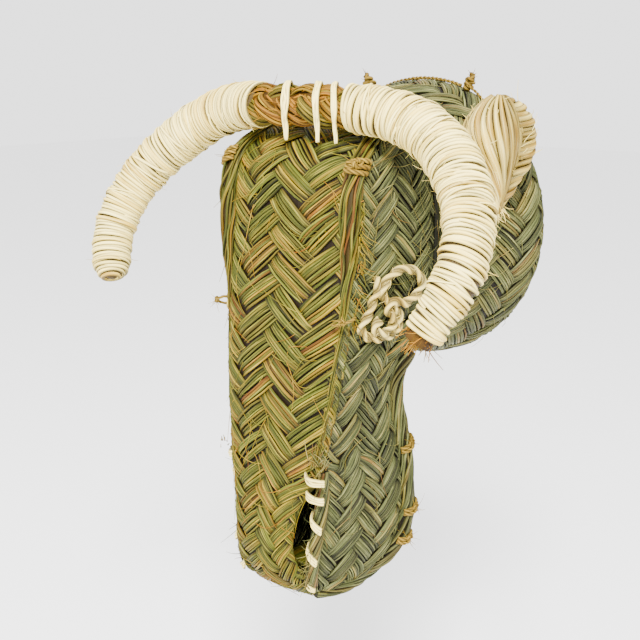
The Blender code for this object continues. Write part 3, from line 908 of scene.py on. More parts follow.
# ---------------------------------------------------------------- plaited bands
@dataclass(frozen=True)
class FaceBand:
    """Plaited band of the face, from the crown to the turned-under nose.

    Attributes:
        plait: How it is plaited.
        slit_left: How far its edge stands back at the left mouth slit.
        slit_right: The same at the right one.
    """

    plait: Plait = Plait(tone=0.38, spread=0.24, fibres=110)
    slit_left: float = 0.0135
    slit_right: float = 0.0030

    def patch(self) -> Patch:
        """The band's surface: straight rows between the front corners, a little crowned.

        The crown is a parabola across the band. The edges stop at the corner rolls, sink
        where the plaits meet, and stand back along the mouth by a rounded half sine.

        Returns:
            The surface.
        """
        number = np.arange(len(RIDGE))
        step = np.gradient(RIDGE[:, 1:], axis=0)
        outward = unit(np.stack((step[:, 1], -step[:, 0]), -1))
        lean = unit(np.gradient(RIDGE, axis=0))[:, 0]
        upper = roll_share(RIDGE[:, 2])
        margin = ((roll_radius(number) - 0.001) * upper - 0.003 * (1.0 - upper))
        half = RIDGE[:, 0] - margin / np.sqrt(1.0 - lean**2)
        along = np.clip((MOUTH_TOP_Z - RIDGE[:, 2]) / (MOUTH_TOP_Z - MOUTH_BOTTOM_Z), 0.0, 1.0)
        slit = np.sin(math.pi * np.clip((along - 0.15) / 0.83, 0.0, 1.0)) ** 0.5
        flatten = np.clip((RIDGE_LAST - number / PER_POINT) / 3.0, 0.0, 1.0)
        across = np.linspace(-1.0, 1.0, 21)
        bulge = FACE_BULGE * flatten[:, None] * (1.0 - across**2)
        bulge = bulge - 0.0035 * (1.0 - upper)[:, None] * ease((np.abs(across) - 0.80) / 0.20)
        open_by = np.where(across > 0.0, self.slit_left, self.slit_right) * slit[:, None]
        grid = np.empty((len(RIDGE), len(across), 3))
        grid[..., 0] = (half[:, None] - open_by) * across
        grid[..., 1:] = RIDGE[:, None, 1:] + bulge[..., None] * outward[:, None, :]
        return Patch(grid)

    def build(self) -> None:
        """Makes the band."""
        piece = Piece("face_plait", Slot.FACE, ("front_band",))
        self.plait.weave(piece, self.patch())
        piece.build()


@dataclass(frozen=True)
class CheekBand:
    """Plaited band of one cheek."""

    side: Side
    plait: Plait = Plait(pitch=0.0205, tone=0.24, spread=0.22, fibres=70)

    def patch(self) -> Patch:
        """The cheek between the front and rear corners, held back from rolls and lip.

        Returns:
            The surface, straight across with a parabolic bulge.
        """
        first = PER_POINT // 2
        front, back = RIDGE[first:CHEEK_ROWS], BACK[first:]
        heights = front[:, 2]
        in_mouth = ease((MOUTH_TOP_Z + 0.003 - heights) / 0.008) * ease(
            (heights - MOUTH_BOTTOM_Z + 0.006) / 0.006)
        upper = roll_share(heights)
        roll = (roll_radius(np.arange(first, CHEEK_ROWS)) - 0.001) * upper + 0.001
        start = roll + in_mouth * (lip_offset(heights) + 0.7 * LIP_R - roll)
        run = unit(back - front)
        span = np.linalg.norm(back - front, axis=1)
        low = start / (span * slant(run, front))
        high = 1.0 - (SEAM_R - 0.001) / (span * slant(run, back))
        t = low[:, None] + (high - low)[:, None] * np.linspace(0.0, 1.0, 19)
        outward = unit(np.cross(run, np.gradient(0.5 * (front + back), axis=0)))
        outward *= np.sign(outward[:, :1])
        body = front[:, None] + t[..., None] * (back - front)[:, None]
        grid = body + (CHEEK_BULGE * 4.0 * t * (1.0 - t))[..., None] * outward[:, None]
        return Patch(self.side.place(grid), self.side.value)

    def lower_edge(self) -> Array:
        """The band's lower edge, from its rear corner to the front."""
        return self.patch().at(np.linspace(0.9, -0.98, 40), np.full(40, 0.99))[0]

    def build(self) -> None:
        """Makes the band."""
        piece = Piece(f"cheek_plait_{self.side.word}", Slot.CHEEK,
                      (f"side_band_{self.side.word}",))
        self.plait.weave(piece, self.patch())
        piece.build()


@dataclass(frozen=True)
class ThroatBand:
    """Plaited band at the back of the muzzle."""

    plait: Plait = Plait(pitch=0.0215, tone=0.24, fibres=20)

    def build(self) -> None:
        """Makes the band as a flat sheet between the rear rolls."""
        top = -COLLAR_B - COLLAR_SEAM_R - GAP
        rows = BACK[BACK[:, 2] < top][:-PER_POINT // 4]
        across = np.linspace(-1.0, 1.0, 15)
        grid = np.empty((len(rows), len(across), 3))
        grid[..., 0] = (rows[:, 0] - SEAM_R + 0.001)[:, None] * across
        grid[..., 1:] = rows[:, None, 1:]
        piece = Piece("throat_plait", Slot.CHEEK, ("throat_band",))
        self.plait.weave(piece, Patch(grid, -1.0))
        piece.build()


@dataclass(frozen=True)
class NeckBand:
    """Plaited band sewn into a ring, from the back of the head to the wall."""

    plait: Plait = Plait(tone=0.27, spread=0.22, fibres=90, squeeze=0.0)
    pitches: int = 29

    def build(self) -> None:
        """Makes the ring; its ends meet at the bottom."""
        angles = np.radians(270.0) - TAU * np.linspace(0.0, 1.0, 181)[:, None]
        share = np.linspace(0.0, 0.985, 19)[None, :]
        radius = neck_radius(share, angles)
        grid = np.stack(np.broadcast_arrays(
            radius * np.cos(angles), NECK_FRONT * (1.0 - share), radius * np.sin(angles)), -1)
        piece = Piece("neck_plait", Slot.CHEEK, ("neck_band",))
        self.plait.weave(piece, Patch(grid), self.pitches)
        piece.build()


# ---------------------------------------------------------------- rolls and mouth
@dataclass(frozen=True)
class HeadRolls:
    """Sewn strand bundles along the corners of the head and round its seam to the neck."""

    side: Side

    def build(self) -> None:
        """Makes the front corner roll and the rear seam roll of one side."""
        self.corner()
        self.seam()

    def corner(self) -> None:
        """Makes the corner roll, slim and held back where the plaits meet over it."""
        word, value = self.side.word, self.side.value
        rows = np.arange(len(RIDGE))
        keep = (RIDGE[:, 2] > MOUTH_TOP_Z) & (rows > PER_POINT // 4)
        route = self.side.place(RIDGE[keep])
        piece = Piece(f"corner_bundle_{word}", Slot.FACE, (f"corner_roll_{word}",))
        share = roll_share(route[:, 2])
        size = roll_radius(rows[keep]) / ROLL_R * (0.40 + 0.60 * share)
        route = route + 0.0030 * (1.0 - share)[:, None] * unit(
            np.array((-value, 1.0, 0.0)))
        Roll(ROLL_R, 16, 0.21, 0.0011, 0.0009, tone=0.45).lay(piece, route, (value, -1.0, 0.0),
                                                              size, shade=0.40, loose=2.6)
        dice = dice_for("fray" + word)
        span = np.nonzero((route[:, 2] < 0.030) & (route[:, 2] > -0.050))[0]
        count = 80 if self.side is Side.LEFT else 24
        pick = span[dice.integers(0, len(span), count)]
        back = unit(np.array((0.45 * value, 1.0, 0.0)))
        roots = route[pick] + 0.0052 * back + (0.0035 * value, 0.0, 0.0)
        aims = unit(np.array((0.25 * value, 0.1, -1.0)) + 0.45 * jitter(dice, count, 3))
        hairs(piece, roots + 0.001 * jitter(dice, count, 3), aims, 0.010,
              "fray" + word, 0.0004, 0.60)
        piece.build()

    def seam(self) -> None:
        """Makes the seam roll, which runs on round the chin along the cheek's lower edge."""
        word, value = self.side.word, self.side.value
        back = self.side.place(BACK[BACK[:, 2] < 0.004 - COLLAR_B])
        route = even(np.concatenate((back, CheekBand(self.side).lower_edge()[4:])), 150)
        route = soften(route, 9)
        t = np.linspace(0.0, 1.0, 150)
        piece = Piece(f"seam_bundle_{word}", Slot.CHEEK, (f"seam_roll_{word}",))
        Roll(SEAM_R, 16, 0.14, 0.0012, 0.0009, tone=0.3).lay(
            piece, route, (value, 0.4, -0.3), np.interp(t, (0.0, 0.6, 1.0), (1.0, 0.95, 0.6)),
            loose=1.6)
        piece.build()


def collar_ring() -> None:
    """The sewn roll between head and neck."""
    angles = np.linspace(0.0, TAU, 150, endpoint=False)
    radii = collar_outline(angles)
    out = np.stack((np.cos(angles), np.zeros(150), np.sin(angles)), -1)
    route = radii[:, None] * out + np.array((0.0, SEAM_Y, 0.0))
    piece = Piece("collar_bundle", Slot.CHEEK, ("collar_seam",))
    # A flat dark band along the seam, under the roll: painted shade in the gap between roll and bands.
    piece.add(strand_rings(route[None], out[None], COLLAR_SEAM_R + 0.0035, 0.0013, 12),
              0.4, 0.15, 0.3, cyclic=True)
    Roll(COLLAR_SEAM_R, 14, 0.08, tone=0.3).lay(piece, route, out, cyclic=True)
    piece.build()


def chin_fold() -> None:
    """Folded band ends that plug the bottom of the muzzle: blades laid side by side."""
    low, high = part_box("chin_pad")
    count = 17
    x = np.linspace(low.x + 0.001, high.x - 0.001, count)
    y = np.linspace(low.y, high.y, 12)
    dice = dice_for("chin")
    centres = np.empty((count, 12, 3))
    centres[..., 0] = x[:, None] + 0.0006 * wander(dice, count, y, 0.02)
    centres[..., 1] = y
    centres[..., 2] = 0.5 * (low.z + high.z)
    piece = Piece("chin_fold", Slot.FACE, ("chin_pad",))
    up = np.broadcast_to(UP, centres.shape)
    tone = np.broadcast_to(0.4 + 0.2 * jitter(dice, count, 1), (count, 12))
    piece.add(strand_rings(centres, up, 0.0014, 0.0021), tone, 0.5)
    piece.build()


@dataclass(frozen=True)
class Mouth:
    """The whipped strand roll along one side's mouth slit."""

    side: Side

    def route(self) -> tuple[Array, Array]:
        """Where the left lip runs.

        Returns:
            Its centre line and the directions from the front corner to it.
        """
        rows = np.nonzero((RIDGE[:CHEEK_ROWS, 2] <= MOUTH_TOP_Z - 0.001)
                          & (RIDGE[:CHEEK_ROWS, 2] >= MOUTH_BOTTOM_Z))[0]
        front, back = RIDGE[rows], BACK[rows]
        run = unit(back - front)
        return front + lip_offset(front[:, 2])[:, None] * run, run

    def build(self) -> None:
        """Makes the lip and its raffia stitches."""
        word = self.side.word
        route, run = (self.side.place(rows) for rows in self.route())
        self.lip(route, run)
        shown = 1.0 if self.side is Side.LEFT else 0.0
        for number, (place, span, lean, shift, bulk) in enumerate(LIP_STITCHES, 1):
            share = place * (len(route) - 1)
            low = int(share)
            centre = route[low] + (share - low) * (route[low + 1] - route[low])
            centre = centre - (shift * shown) * run[low]
            along = unit(route[low + 1] - route[low])
            out = -run[low] - (-run[low]).dot(along) * along
            self.stitch(f"mouth_stitch_{word}_{number}", centre, along, unit(out), span,
                        -lean * self.side.value, 1.0 + (bulk - 1.0) * shown)

    def lip(self, route: Array, run: Array) -> None:
        """Makes the strand roll, with loose fibres on it and a tassel at its top.

        Args:
            route: Centre line of the lip.
            run: Directions from the front corner to it.
        """
        word = self.side.word
        piece = Piece(f"mouth_lip_{word}_strands", Slot.CHEEK, (f"mouth_lip_{word}",))
        Roll(LIP_R, 11, 0.10, tone=0.55).lay(piece, route, -run[0])
        dice = dice_for("mouth" + word)
        count = 46 if self.side is Side.LEFT else 14
        pick = dice.integers(0, len(route), count)
        aims = unit(-run[pick] + np.array((0.3 * self.side.value, -0.7, 0.0))
                    + 0.5 * jitter(dice, count, 3))
        hairs(piece, route[pick] + 0.9 * LIP_R * aims, aims, 0.009, "lip" + word)
        top = route[0] + np.array((0.0, -0.004, 0.004)) + 0.003 * jitter(dice, count, 3)
        aims = unit(np.array((0.1 * self.side.value, 0.1, 1.0))
                    + 0.35 * jitter(dice, count, 3))
        hairs(piece, top, aims, 0.0002 * count, "tassel" + word, 0.0005, 0.75)
        piece.build()

    def stitch(self, name: str, centre: Array, along: Array, out: Array, span: float,
               lean: float, bulk: float) -> None:
        """One raffia strip wound over the lip.

        Args:
            name: Node name that it stands for.
            centre: Middle of the lip there.
            along: Direction of the lip.
            out: Direction of the strip's middle.
            span: Angle to each side, in radians.
            lean: How far the strip climbs along the lip.
            bulk: Factor on the radius that it winds round.
        """
        angles = np.linspace(-span, span, 18)
        across = np.cross(along, out)
        ring = spin(angles, out, across)
        piece = Piece(name + "_strip", Slot.RAFFIA, (name,))
        dice = dice_for(name)
        places = np.linspace(-0.0016, 0.0016, 3) * (0.7 + 0.3 * bulk)
        climb = places[:, None] + lean * np.sin(angles) + 0.0003 * wander(dice, 3, angles, 2.0)
        reach = bulk * LIP_R + 0.0010 + 0.0003 * wander(dice, 3, angles, 1.5)
        centres = centre + climb[..., None] * along + reach[..., None] * ring
        piece.add(strand_rings(centres, np.broadcast_to(ring, centres.shape), 0.0012, 0.0009),
                  0.3 + 0.1 * wander(dice, 3, angles, 2.0), 0.75)
        piece.build()


# ---------------------------------------------------------------- horns
def braided_bar() -> None:
    """The braid that runs through both horns, bare between the two wraps.

    Three bundles swap places: each swings across as a sine of the distance and in depth as
    a sine of twice that, a third of a period apart.
    """
    half = horn_route(160)
    far = lengths(half)
    near = half[far < BAR_HALF + 0.006]
    route = even(np.concatenate((near[::-1] * (-1.0, 1.0, 1.0), near[1:])), 70)
    distance = lengths(route)
    first, second = frames(route, BAR_FACING)
    piece = Piece("horn_braid", Slot.BAR, ("horn_core",))
    for number in range(3):
        phase = TAU * (distance / 0.054 + number / 3.0) + 0.6
        path = (route + 0.0066 * np.sin(phase)[:, None] * second
                + 0.0036 * np.sin(2.0 * phase)[:, None] * first)
        Roll(0.0074, 17, 0.13, 0.0013, 0.0009, tone=(0.35, 0.75, 0.6)[number],
             spread=0.2).lay(piece, path, BAR_FACING)
    # A dark rod inside the braid and the wraps: painted shade in the gaps between the bundles. Its end
    # stands out past the tip as the core stub.
    full = np.concatenate((half[far < far[-1] - 0.012][::-1] * (-1.0, 1.0, 1.0), half[1:]))
    tip = unit(full[-1] - full[-2])
    shade_rod = even(np.concatenate((full, full[-1:] + 0.6 * CORE_STUB * tip)), 90)
    side = frames(shade_rod, FORWARD)[0]
    piece.add(strand_rings(shade_rod[None], side[None], 0.0086, 0.0086, 12), 0.8, 0.25, 0.4)
    dice = dice_for("bar hairs")
    pick = dice.integers(2, 68, 54)
    out = spin(dice.uniform(-1.6, 1.6, 54), first[pick], second[pick])
    lean = dice.choice((-1.0, 1.0), (54, 1)) * np.array((1.0, 0.0, 0.0))
    hairs(piece, route[pick] + 0.011 * out, unit(0.12 * out + lean), 0.010, "bar", 0.0003, 0.8)
    spray = unit(tip + 0.35 * jitter(dice, 70, 3))
    spot = jitter(dice, 70, 3)
    spot = 0.0085 * dice.uniform(0.1, 1.0, (70, 1)) * unit(spot - (spot @ tip)[:, None] * tip)
    hairs(piece, half[-1] - 0.003 * tip + spot, spray, 0.012, "stub", 0.00055, 0.7)
    piece.build()


@dataclass(frozen=True)
class HornWrap:
    """Raffia wound round one horn.

    Attributes:
        side: Side of the animal.
        pitch: Distance between turns.
        twist: How much the strip twists and narrows, 0 to 1.
        skew: How far the turns tilt along the horn.
    """

    side: Side
    pitch: float
    twist: float
    skew: float

    def build(self) -> None:
        """Makes the wrap: one long helix cut into turns, over a dark tube that is painted shade in the
        gaps between turns.
        """
        route = horn_route(500)
        far = lengths(route)
        start = BAR_HALF + WRAP_SHIFT * self.side.value
        route, far = route[far > start], far[far > start] - start
        route = self.side.place(route)
        dice = dice_for("wrap" + self.side.word)
        total = far[-1]
        half_way = 0.5 * (total + BAR_HALF) - BAR_HALF
        radius = np.interp(far, (0.0, half_way, total), (WRAP_ROOT_R, WRAP_MID_R, WRAP_TIP_R))
        if self.side is Side.LEFT:
            radius = radius * (1.0 - TIP_SLIM * ease(1.0 - (total - far) / TIP_REACH))
        else:
            left = np.clip((total - far) / WRAP_TIP_R, 0.0, 1.0)
            radius = radius * np.maximum(np.sqrt(1.0 - (1.0 - left) ** 2), 0.16)
        first, second = frames(route, FORWARD)
        turns = int(total / self.pitch)
        steps = 26
        ends = np.linspace(0.0, 1.0, steps) * (1.0 + 1.0 / steps)
        lap = np.arange(turns)[:, None] + ends[None, :]
        flat = lap.ravel()
        angle = TAU * lap * self.side.value + math.pi
        slow, quick, sway, fat, lumpy, tight = (
            wander(dice, 1, flat, wave).reshape(lap.shape) for wave in (3.1, 0.9, 2.7, 5.3, 1.3, 0.46))
        drift, bulk = slow + 0.8 * quick, fat + lumpy
        sway = -(self.skew + 0.0013 * self.twist * sway) * np.sin(angle + 0.9 * self.side.value)
        edge = ease(lap / 4.0) * ease((turns - lap) / 4.0)
        place = np.clip((lap + 0.11 * drift) * self.pitch + edge * sway, 0.0, total)
        centre, a, b = (read_off(place, far, curve) for curve in (route, first, second))
        out = spin(angle, a, b)
        thick = 0.50 * self.pitch * (1.0 + 0.15 * bulk)
        reach = np.interp(place, far, radius) - 0.0013 + 0.00025 * bulk
        width = 0.5 * self.pitch * (1.18 + 0.08 * bulk + 0.18 * self.twist * tight)
        tone = 0.42 + 0.18 * bulk + 0.12 * jitter(dice, turns, 1)
        piece = Piece(f"horn_raffia_{self.side.word}", Slot.RAFFIA,
                      (f"horn_wrap_{self.side.word}",))
        piece.add(strand_rings(centre + reach[..., None] * out, out, width, thick, 8), tone,
                  np.clip(0.70 + 0.16 * tight + 0.08 * bulk, 0.0, 1.0))
        # A dark tube under the turns: painted shade in the gaps between them.
        shade_sleeve = slice(2, None, 6)
        rings = strand_rings(route[shade_sleeve][None], first[shade_sleeve][None],
                             radius[shade_sleeve] - 0.0020, radius[shade_sleeve] - 0.0020, SLEEVE_SIDES)
        piece.add(rings, 0.9, 0.05, 0.2, weight=6.0)
        self.strays(piece, route, far, radius, first, second)
        piece.build()

    def strays(self, piece: Piece, route: Array, far: Array, radius: Array, first: Array,
               second: Array) -> None:
        """Adds strips that cross other turns, and loose fibres.

        Args:
            piece: Piece that takes them.
            route: Centre line of the horn.
            far: Distance along it.
            radius: Radius of the wrap there.
            first: First direction square to the route.
            second: Second direction square to the route.
        """
        dice = dice_for("strays" + self.side.word)
        count = 34
        t = np.linspace(-1.0, 1.0, 16)[None, :]
        middle = dice.uniform(0.05, 0.95, (count, 1)) * far[-1]
        place = np.clip(middle + t * dice.uniform(-0.006, 0.006, (count, 1)), 0.0, far[-1])
        angle = dice.uniform(0.0, TAU, (count, 1)) + 1.1 * t
        centre, a, b = (read_off(place, far, curve) for curve in (route, first, second))
        out = spin(angle, a, b)
        dive = 0.0004 - 0.0016 * np.abs(t) ** 3
        reach = np.interp(place, far, radius) + dive
        width = dice.uniform(0.0006, 0.0014, (count, 1)) * np.ones_like(place)
        tone = 0.4 + 0.2 * jitter(dice, count, 1) * np.ones_like(place)
        piece.add(strand_rings(centre + reach[..., None] * out, out, width, 0.0005), tone, 0.75)
        count = 60
        pick = dice.integers(4, len(route) - 4, count)
        turn = dice.uniform(0.0, TAU, count)
        out = spin(turn, first[pick], second[pick])
        skew = spin(turn - 0.5 * math.pi, first[pick], second[pick])
        hairs(piece, route[pick] + (radius[pick] - 0.0004)[:, None] * out,
              unit(skew + 0.4 * out), 0.006, "hair" + self.side.word, 0.00022, 0.5)


# How far both wraps' roots move to the animal's left.
WRAP_SHIFT = 0.005
# How much slimmer the left wrap ends, and over what length.
TIP_SLIM = 0.14
TIP_REACH = 0.04
# Pitch, twist and skew of each horn's wrap.
WRAP_WINDING = {Side.LEFT: (0.0025, 0.9, 0.0024), Side.RIGHT: (0.0024, 0.4, 0.0004)}


@dataclass(frozen=True)
class BarStitch:
    """A raffia strip that holds the bar on the forehead."""

    number: int
    x: float

    def build(self) -> None:
        """Makes the strip: over the bar's top and front, then down to the plait."""
        route = horn_route(200)
        y, z = (float(np.interp(abs(self.x), route[:, 0], route[:, i])) for i in (1, 2))
        angles = np.radians(np.linspace(140.0, -38.0, 22))
        reach = BAR_R + 0.0009
        arc = np.stack((-np.cos(angles), np.sin(angles)), -1) * reach
        down = np.linspace(0.0, 1.0, 8)[1:, None]
        drop = arc[-1] + down * np.array((0.0025, -0.0125))
        flat = np.concatenate((arc, drop)) + np.array((y, z))
        steps = len(flat)
        t = np.linspace(0.0, 1.0, steps)
        swing = 0.7 * (y - flat[:, :1]) + 0.0010
        centre = np.concatenate((self.x + swing, flat), 1)
        normal = frames(centre, (0.0, -0.9, 0.4))[0]
        out = np.concatenate((np.zeros((steps, 1)), flat - np.array((y, z))), 1)
        normal = unit(out + 0.002 * normal)
        dice = dice_for(f"stitch {self.number}")
        spread = (1.0 - 0.55 * ease((t - 0.62) / 0.38)) * (0.62 + 0.38 * ease(t / 0.3))
        offset = np.linspace(-1.0, 1.0, 4)[:, None] * (0.0023 - 0.0004 * self.number) * spread
        offset = offset + 0.0007 * np.sin(5.0 * t + self.number) + 0.0003 * wander(dice, 4, t, 0.4)
        centres = np.broadcast_to(centre, (4, steps, 3)).copy()
        centres[..., 0] += offset
        centres += (0.0003 * wander(dice, 4, t, 0.3))[..., None] * normal
        piece = Piece(f"bar_strip_{self.number}", Slot.RAFFIA, (f"bar_stitch_{self.number}",))
        piece.add(strand_rings(centres, np.broadcast_to(normal, centres.shape),
                               0.0012 * (0.5 + 0.5 * spread), 0.0007),
                  0.22 + 0.1 * wander(dice, 4, t, 0.5), 0.8)
        piece.build()


# ---------------------------------------------------------------- ears and eyes
@dataclass(frozen=True)
class Ear:
    """A raffia-wound drop with a crease down its front, sewn to the neck."""

    side: Side

    def patch(self) -> Patch:
        """The ear's surface: a flattened drop whose radius dips along the crease.

        The half width follows the sine of a power of the share of the length; the section
        is an ellipse, pulled in near the crease by a narrow bell curve. The whole stands
        out until it clears the neck.

        Returns:
            The surface, its rows running up the ear and its columns round it.
        """
        s = np.linspace(0.004, 0.996, 61)[:, None]
        around = np.linspace(-math.pi, math.pi, 49)[None, :]
        half = EAR_HALF_WIDTH * np.sin(math.pi * s**1.5) ** 0.68
        crease = 1.0 - 0.45 * np.exp(-((around - 0.45) / 0.40) ** 2) * np.sin(math.pi * s) ** 0.5
        wide = half * np.sin(around) * (1.0 + 0.05 * np.cos(around))
        deep = EAR_FLATNESS * half * np.cos(around) * crease
        turn = 0.5 * math.pi + EAR_TURN
        neck = neck_radius((NECK_FRONT - EAR_Y) / NECK_FRONT, np.array(EAR_ROOT_ANGLE))
        low = float(neck * math.sin(EAR_ROOT_ANGLE))
        centre_x = self.stand_off(low, turn)
        x = centre_x + wide * math.cos(turn) + deep * math.sin(turn)
        y = EAR_Y + wide * math.sin(turn) - deep * math.cos(turn)
        z = low + EAR_LENGTH * s + 0.0 * around
        return Patch(self.side.place(np.stack((x, y, z), -1)), -self.side.value)

    def stand_off(self, low: float, turn: float) -> float:
        """Distance from the head's middle plane at which the whole ear clears the neck.

        Args:
            low: Height of the ear's root.
            turn: Angle of its wide axis.

        Returns:
            X of the ear's middle line.
        """
        steps = np.linspace(0.0, 1.0, 13)
        profile = EAR_HALF_WIDTH * np.abs(np.sin(math.pi * steps**1.35)) ** 0.8
        heights = low + EAR_LENGTH * steps
        ring = np.linspace(0.0, TAU, 28, endpoint=False)[:, None]
        rim_x, rim_y = profile * np.cos(ring), EAR_FLATNESS * profile * np.sin(ring)
        out_x = rim_x * math.cos(turn) - rim_y * math.sin(turn)
        out_y = EAR_Y + rim_x * math.sin(turn) + rim_y * math.cos(turn)
        root = low / math.sin(EAR_ROOT_ANGLE)
        neck = neck_radius((NECK_FRONT - out_y) / NECK_FRONT,
                           np.arcsin(np.minimum(heights / root, 1.0)))
        clear = np.sqrt(np.maximum(neck**2 - heights**2, 0.0)) - out_x
        return float(clear.max()) + EAR_EASE

    def strips(self, piece: Piece, patch: Patch, dice: np.random.Generator, u: Array, v: Array,
               width: Array) -> None:
        """Lays raffia strips on the ear, darker near the crease as painted shade.

        Args:
            piece: Piece that takes them.
            patch: The ear's surface.
            dice: Random generator.
            u: Places round the ear, (strips, steps).
            v: Places along it.
            width: Half width of the strips.
        """
        count = len(u)
        place = np.linspace(0.0, 1.0, u.shape[1])
        bulk = wander(dice, count, place, 0.8)
        points, normals = patch.at(((u + 1.0) % 2.0) - 1.0, np.clip(v, 0.0, 1.0))
        lift = 0.0006 * bulk + 0.0006 * jitter(dice, count, 1) - 0.0005
        tone = 0.72 + 0.18 * bulk + 0.16 * jitter(dice, count, 1)
        # Depth falls near the crease: painted shade in the crease.
        piece.add(strand_rings(points + lift[..., None] * normals, normals,
                               width * (1.0 + 0.15 * bulk), 0.0013, 8), tone,
                  np.clip(0.46 + 0.18 * bulk, 0.0, 1.0), 0.3 + 0.7 * ease(np.abs(u - 0.14) / 0.3))

    def build(self) -> None:
        """Makes the ear: a dark core, painted shade between the strips; strips that fan out of the
        crease; loose ends.
        """
        patch = self.patch()
        piece = Piece(f"ear_raffia_{self.side.word}", Slot.RAFFIA, (f"ear_{self.side.word}",))
        dice = dice_for("ear" + self.side.word)
        # A dark core under the strips: painted shade seen between them.
        ring = patch.grid[:, :-1] - 0.0022 * patch.normals[:, :-1]
        order = -1 if self.side is Side.RIGHT else 1
        piece.add(ring[None, :, ::order], 0.9, 0.15, 0.3, weight=4.0)
        steps = 30
        t = np.linspace(0.0, 1.0, steps)[None, :]
        fan = np.linspace(0.0, 1.22, 17)[:, None]
        u = 0.14 - fan * (0.12 + 0.88 * t**0.8)
        v = 0.03 + 0.95 * t + 0.0 * fan
        self.strips(piece, patch, dice, u, v, 0.0007 + 0.0021 * np.sin(math.pi * v) ** 0.8)
        start = np.linspace(0.02, 0.94, 24)[:, None] + dice.normal(0.0, 0.006, (24, 1))
        u = 0.13 + 0.95 * t + 0.0 * start
        v = start + (0.20 - 0.17 * start) * np.sin(0.5 * math.pi * t)
        self.strips(piece, patch, dice, u, v, 0.0020 + 0.0 * v)
        pick = dice.uniform(0.0, 1.0, (54, 2))
        roots, aims = patch.at(1.4 * pick[:, 0] - 0.7, 0.1 + 0.85 * pick[:, 1])
        aims = unit(0.5 * aims + 0.8 * UP + 0.6 * jitter(dice, 54, 3))
        hairs(piece, roots, aims, 0.008, "ear hair" + self.side.word, 0.0003, 0.45)
        roots, aims = patch.at(2.0 * pick[:, 0] - 1.0, 0.10 * pick[:, 1])
        hairs(piece, roots, unit(aims - UP), 0.009,
              "ear root" + self.side.word, 0.0005, 0.5)
        piece.build()


@dataclass(frozen=True)
class Eye:
    """Twisted raffia cord sewn to the cheek in a rosette of loops."""

    side: Side

    def build(self) -> None:
        """Makes the cord along a curve of two large loops and a small one on the cheek."""
        y, z = EYE_CENTRE
        knots = 0.001 * np.array((
            (-14.5, 21.0), (-13.0, 13.0), (-15.5, 6.0), (-17.5, -2.0), (-22.0, -8.0),
            (-23.0, -15.5), (-16.0, -22.0), (-6.0, -23.5), (3.5, -20.5), (7.0, -13.0),
            (4.0, -5.0), (-2.0, 1.5), (-9.0, 7.5), (-10.0, 16.0), (-4.5, 22.5), (4.5, 24.5),
            (14.0, 21.5), (19.0, 13.5), (14.0, 5.5), (5.0, 2.0), (-3.0, 4.5), (-6.5, -1.0),
            (-1.0, -9.5), (-4.0, -16.5), (-11.5, -18.0), (-16.0, -13.0), (-12.0, -8.0),
        ))
        knots[:, 1] *= np.where(knots[:, 1] < 0.0, 0.86, 1.0)
        route = smooth(knots, 420)
        number = np.linspace(0.0, 1.0, len(route))
        lift = 0.0030 + 0.0030 * ease((number - 0.42) / 0.10) + 0.0006 * np.sin(50.0 * number)
        points = self.side.place(cheek_point(y + route[:, 0], z + route[:, 1], lift))
        points = even(points, 420)
        piece = Piece(f"eye_cord_{self.side.word}", Slot.RAFFIA, (f"eye_{self.side.word}",))
        cord(piece, points, (self.side.value, 0.0, 0.0), 0.0033, 0.0200, 2, 0.48, 0.60)
        dice = dice_for("eye" + self.side.word)
        pick = dice.integers(0, 420, 40)
        aims = unit(np.array((0.8 * self.side.value, -0.5, 0.0))
                    + 0.8 * jitter(dice, 40, 3))
        hairs(piece, points[pick] + 0.002 * aims, aims, 0.005, "eye hair", 0.00022, 0.5)
        piece.build()


# ---------------------------------------------------------------- ties and wall cord
@dataclass(frozen=True)
class Tie:
    """Twine drawn round a roll and knotted.

    Attributes:
        node: Solid node that it stands for.
        centre: Middle of the roll there.
        along: Direction of the roll.
        out: Direction that the tie faces.
        radius: Radius of the roll.
        turns: Number of strands side by side.
        bold: Factor on the twine's size.
    """

    node: str
    centre: Array
    along: Array
    out: Array
    radius: float
    turns: int = 2
    bold: float = 1.0

    def build(self) -> None:
        """Makes the strands, a small knot and its tail."""
        along = unit(np.asarray(self.along, float))
        out = np.asarray(self.out, float)
        out = unit(out - out.dot(along) * along)
        across = np.cross(along, out)
        angles = np.linspace(-1.45, 1.45, 26)
        ring = spin(angles, out, across)
        piece = Piece(self.node + "_twine", Slot.TWINE, (self.node,))
        dice = dice_for(self.node)
        for number in range(self.turns):
            shift = (number - 0.5 * (self.turns - 1)) * 0.0021 * self.bold
            path = (self.centre + (self.radius + 0.0009 * self.bold) * ring
                    + (shift + 0.0030 * np.sin(angles + 0.5 * number))[:, None] * along)
            cord(piece, path, along, TWINE_R * self.bold, 0.0150, 3, 0.55, 0.5)
        spot = self.centre + (self.radius + 0.0016) * unit(out + 0.25 * across)
        loop = np.linspace(0.0, 2.4 * math.pi, 26)
        knot = spot + 0.0018 * self.bold * (
            spin(loop, along, across) + 0.35 * np.sin(2.0 * loop)[:, None] * out)
        cord(piece, knot, out, TWINE_R * self.bold, 0.006, 2, 0.55, 0.5)
        aims = unit(0.3 * out + jitter(dice, 9, 3))
        hairs(piece, spot + 0.0015 * aims, aims, 0.006, self.node, 0.00024, 0.5)
        piece.build()


def at_height(curve: Array, z: float) -> tuple[Array, Array]:
    """Where a curve that runs down passes a height.

    Args:
        curve: Points of the curve.
        z: The height.

    Returns:
        The place and the tangent there.
    """
    place = np.array([np.interp(-z, -curve[:, 2], curve[:, i]) for i in range(3)])
    step = np.array([np.interp(-z, -curve[:, 2], np.gradient(curve[:, i])) for i in range(3)])
    return place, step


